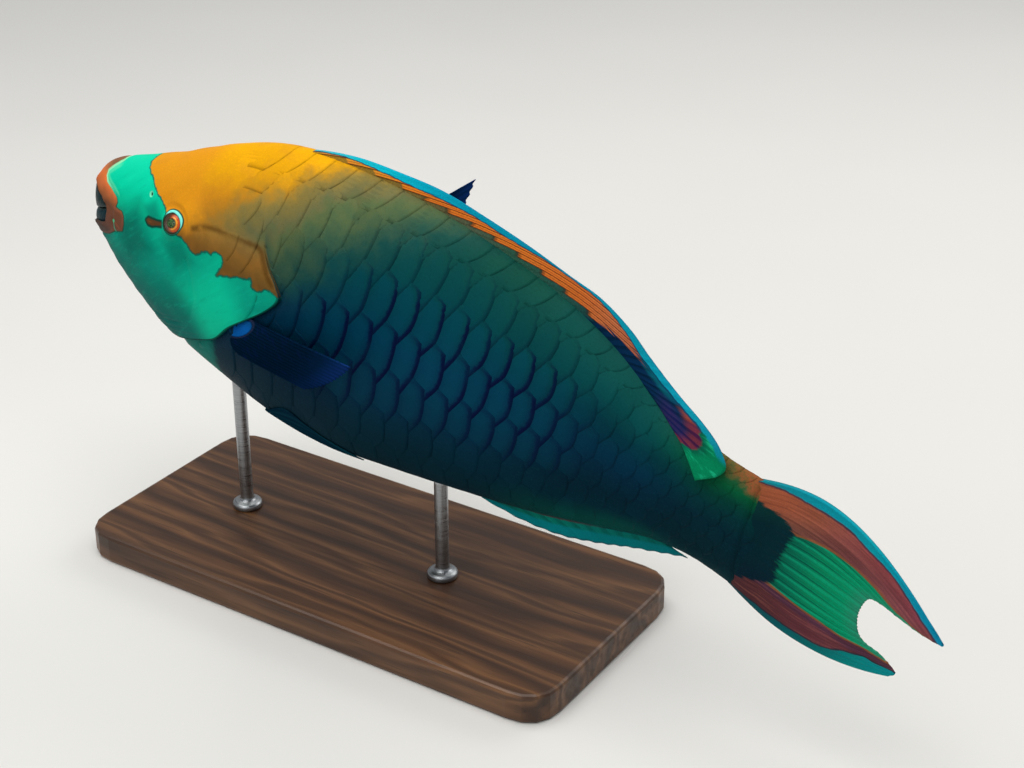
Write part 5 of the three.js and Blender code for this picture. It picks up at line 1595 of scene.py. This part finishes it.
# -------------------------------------------------------------- tooth plates
def build_beak(name, node, upper, mat):
    na, nz = 96, 14
    deg = np.linspace(-MOUTH["sweep"], MOUTH["sweep"], na + 1)[:, None]
    a = np.radians(deg)
    v = np.linspace(0, 1, nz + 1)[None, :]
    hi, bite, lo = GAPE_Z(np.abs(deg))
    if upper:
        z0, z1, sink = bite + 0.5 * MOUTH["open"], hi, -0.9
    else:
        z0, z1, sink = bite - 0.5 * MOUTH["open"], lo, -2.1
    teeth = 0.28 * np.abs(np.sin(a * 15)) * (v < 0.35) * (1 - v / 0.35)
    z = z0 + (z1 - z0) * v + (0.35 if upper else -0.35) * np.abs(np.cos(a * 15)) ** 3 * (1 - v) ** 4
    bulge = 0.45 * np.sin(np.pi * np.clip(v, 0, 1)) - 0.7 * (1 - v) ** 3

    def at(off):
        return np.stack([MOUTH["centre"] - (MOUTH["reach"] + off) * np.cos(a) + 0 * z,
                         (MOUTH["half"] + off) * np.sin(a) + 0 * z, z], -1)
    outer = at(sink + 0.05 + bulge - teeth)
    inner = at(sink - 2.3 + 0.25 * bulge)
    m, n = outer.shape[:2]
    A = np.arange(m * n).reshape(m, n)
    B = A + m * n
    q1 = np.stack([A[:-1, :-1], A[1:, :-1], A[1:, 1:], A[:-1, 1:]], -1).reshape(-1, 4)
    q2 = np.stack([B[:-1, :-1], B[:-1, 1:], B[1:, 1:], B[1:, :-1]], -1).reshape(-1, 4)
    ring = np.concatenate([A[0, :], A[1:, -1], A[-1, -2::-1], A[-2:0:-1, 0]])
    qs = np.stack([np.roll(ring, -1), np.roll(ring, -1) + m * n, ring + m * n, ring], -1)
    faces = np.vstack([q1, q2, qs])
    pts = np.vstack([outer.reshape(-1, 3), inner.reshape(-1, 3)])
    U = np.broadcast_to(np.linspace(0.01, 0.99, m)[:, None], (m, n))
    Vv = np.broadcast_to(v, (m, n))
    g = np.stack([U, 0.01 + 0.48 * Vv], -1).reshape(-1, 2)
    h = np.stack([U, 0.51 + 0.48 * Vv], -1).reshape(-1, 2)
    tab = np.vstack([g, h])
    uv = np.concatenate([tab[q1], tab[q2], tab[np.stack([np.roll(ring, -1), np.roll(ring, -1), ring, ring], -1)]])
    cutv = np.tile((1 - Vv).ravel(), 2)
    plate = np.tile((z - bite + 0 * z).ravel(), 2)
    o = make(name, pts, faces, mat, {"fish": pts, "cut": cutv, "plate": plate}, uv)
    fix_outward(o)
    return attach(o, "tooth_plate", node)


tooth = paint_tooth()
build_beak("beak_upper_plate", "beak_upper", True, tooth)
build_beak("beak_lower_plate", "beak_lower", False, tooth)


# -------------------------------------------------------------------- stand
def build_rod(s, name, node, mat):
    lo, hi = (np.array(v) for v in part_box(node))
    c = (lo + hi) / 2 * 1000
    z0, z1 = lo[2] * 1000, hi[2] * 1000
    prof = [(0.01, z0), (8.4, z0), (8.9, z0 + .3), (9, z0 + .8), (9, z0 + 2.6), (8.7, z0 + 3.2), (7.9, z0 + 3.7), (7.2, z0 + 4.1),
            (5.6, z0 + 4.6), (4.5, z0 + 5.3), (4.0, z0 + 6.4)]
    prof += [(4.0, z) for z in np.linspace(z0 + 8, z1 - 0.6, 24)] + [(3.7, z1 - 0.15), (0.01, z1)]
    prof = np.array(prof)
    n = 64
    ph = np.linspace(0, 2 * np.pi, n, endpoint=False)
    R, F = prof[:, 0][:, None], ph[None, :]
    pts = np.stack([c[0] + R * np.cos(F), c[1] + R * np.sin(F), prof[:, 1][:, None] + 0 * F], -1)
    m = len(prof)
    idx = np.arange(m * n).reshape(m, n)
    nxt = np.roll(idx, -1, 1)
    q = np.stack([idx[:-1], nxt[:-1], nxt[1:], idx[1:]], -1).reshape(-1, 4)
    U = np.arange(n + 1) / n
    V = np.linspace(0.01, 0.99, m)
    uvg = np.stack(np.meshgrid(U, V), -1)
    uv = np.stack([uvg[:-1, :-1], uvg[:-1, 1:], uvg[1:, 1:], uvg[1:, :-1]], -2).reshape(-1, 4, 2)
    o = make(name, pts.reshape(-1, 3) / 1000, q, mat, None, uv, in_metres=True)
    fix_outward(o)
    return attach(o, "stand_steel", node)


steel = paint_steel()
build_rod(118, "stand_rod_front_turned", "stand_rod_front", steel)
build_rod(268, "stand_rod_rear_turned", "stand_rod_rear", steel)
base = frame["nodes"]["stand_base"]
wood = paint_wood()
base.data.materials.clear() if not base.material_slots else None
for ms in base.material_slots:
    ms.material = wood
if not base.material_slots:
    base.data.materials.append(wood)

# -------------------------------------------------------------------- stage
floor_me = bpy.data.meshes.new("floor")
floor_me.from_pydata([(-6, -6, 0), (6, -6, 0), (6, 6, 0), (-6, 6, 0)], [], [(0, 1, 2, 3)])
floor = bpy.data.objects.new("floor", floor_me)
floor_me.materials.append(paint_floor())
bpy.context.scene.collection.objects.link(floor)

scene = bpy.context.scene
scene.view_settings.view_transform = "Standard"
scene.view_settings.look = "None"

EPS, PSI = math.radians(27), math.radians(33)
toward = Vector((math.cos(EPS) * math.cos(PSI + math.radians(0)), 0, 0))
c = Vector((0.74727, 0.48528, 0.45399)).normalized()
upv = Vector((-math.sin(EPS) * math.cos(PSI), -math.sin(EPS) * math.sin(PSI), math.cos(EPS))).normalized()
right = (-c).cross(upv).normalized()
upv = right.cross(-c).normalized()
cam_data = bpy.data.cameras.new("camera")
cam_data.sensor_width = 36
cam_data.sensor_fit = "HORIZONTAL"
cam_data.lens = 66.63
cam_data.clip_start, cam_data.clip_end = 0.05, 50
cam = bpy.data.objects.new("camera", cam_data)
rot = Matrix((right, upv, c)).transposed().to_4x4()
cam.matrix_world = Matrix.Translation((0.7611, 0.5931, 0.6191)) @ rot
scene.collection.objects.link(cam)
scene.camera = cam


def area(name, at, aim, size, power, color=(1, 1, 1)):
    d = bpy.data.lights.new(name, "AREA")
    d.shape = "RECTANGLE"
    d.size, d.size_y = size
    d.energy = power
    d.color = color
    o = bpy.data.objects.new(name, d)
    v = Vector(aim) - Vector(at)
    o.matrix_world = Matrix.Translation(at) @ v.to_track_quat("-Z", "Y").to_matrix().to_4x4()
    scene.collection.objects.link(o)
    return o


area("key_overhead", (0.15, -0.15, 1.75), (0, 0.05, 0.15), (1.6, 1.6), 30, (1.0, 0.985, 0.95))
area("fill_left", (1.5, 0.1, 0.9), (0, 0.05, 0.15), (1.3, 1.0), 6, (0.97, 0.99, 1.0))
area("rim_right", (-1.3, 0.5, 1.1), (0, 0.05, 0.18), (1.0, 0.8), 7, (1.0, 0.98, 0.95))
world_ = bpy.data.worlds.new("studio")
world_.use_nodes = True
bg = world_.node_tree.nodes.get("Background") or world_.node_tree.nodes.new("ShaderNodeBackground")
bg.inputs[0].default_value = (0.86, 0.88, 0.9, 1)
bg.inputs[1].default_value = 0.45
wo = world_.node_tree.nodes.get("World Output") or world_.node_tree.nodes.new("ShaderNodeOutputWorld")
world_.node_tree.links.new(bg.outputs[0], wo.inputs[0])
scene.world = world_
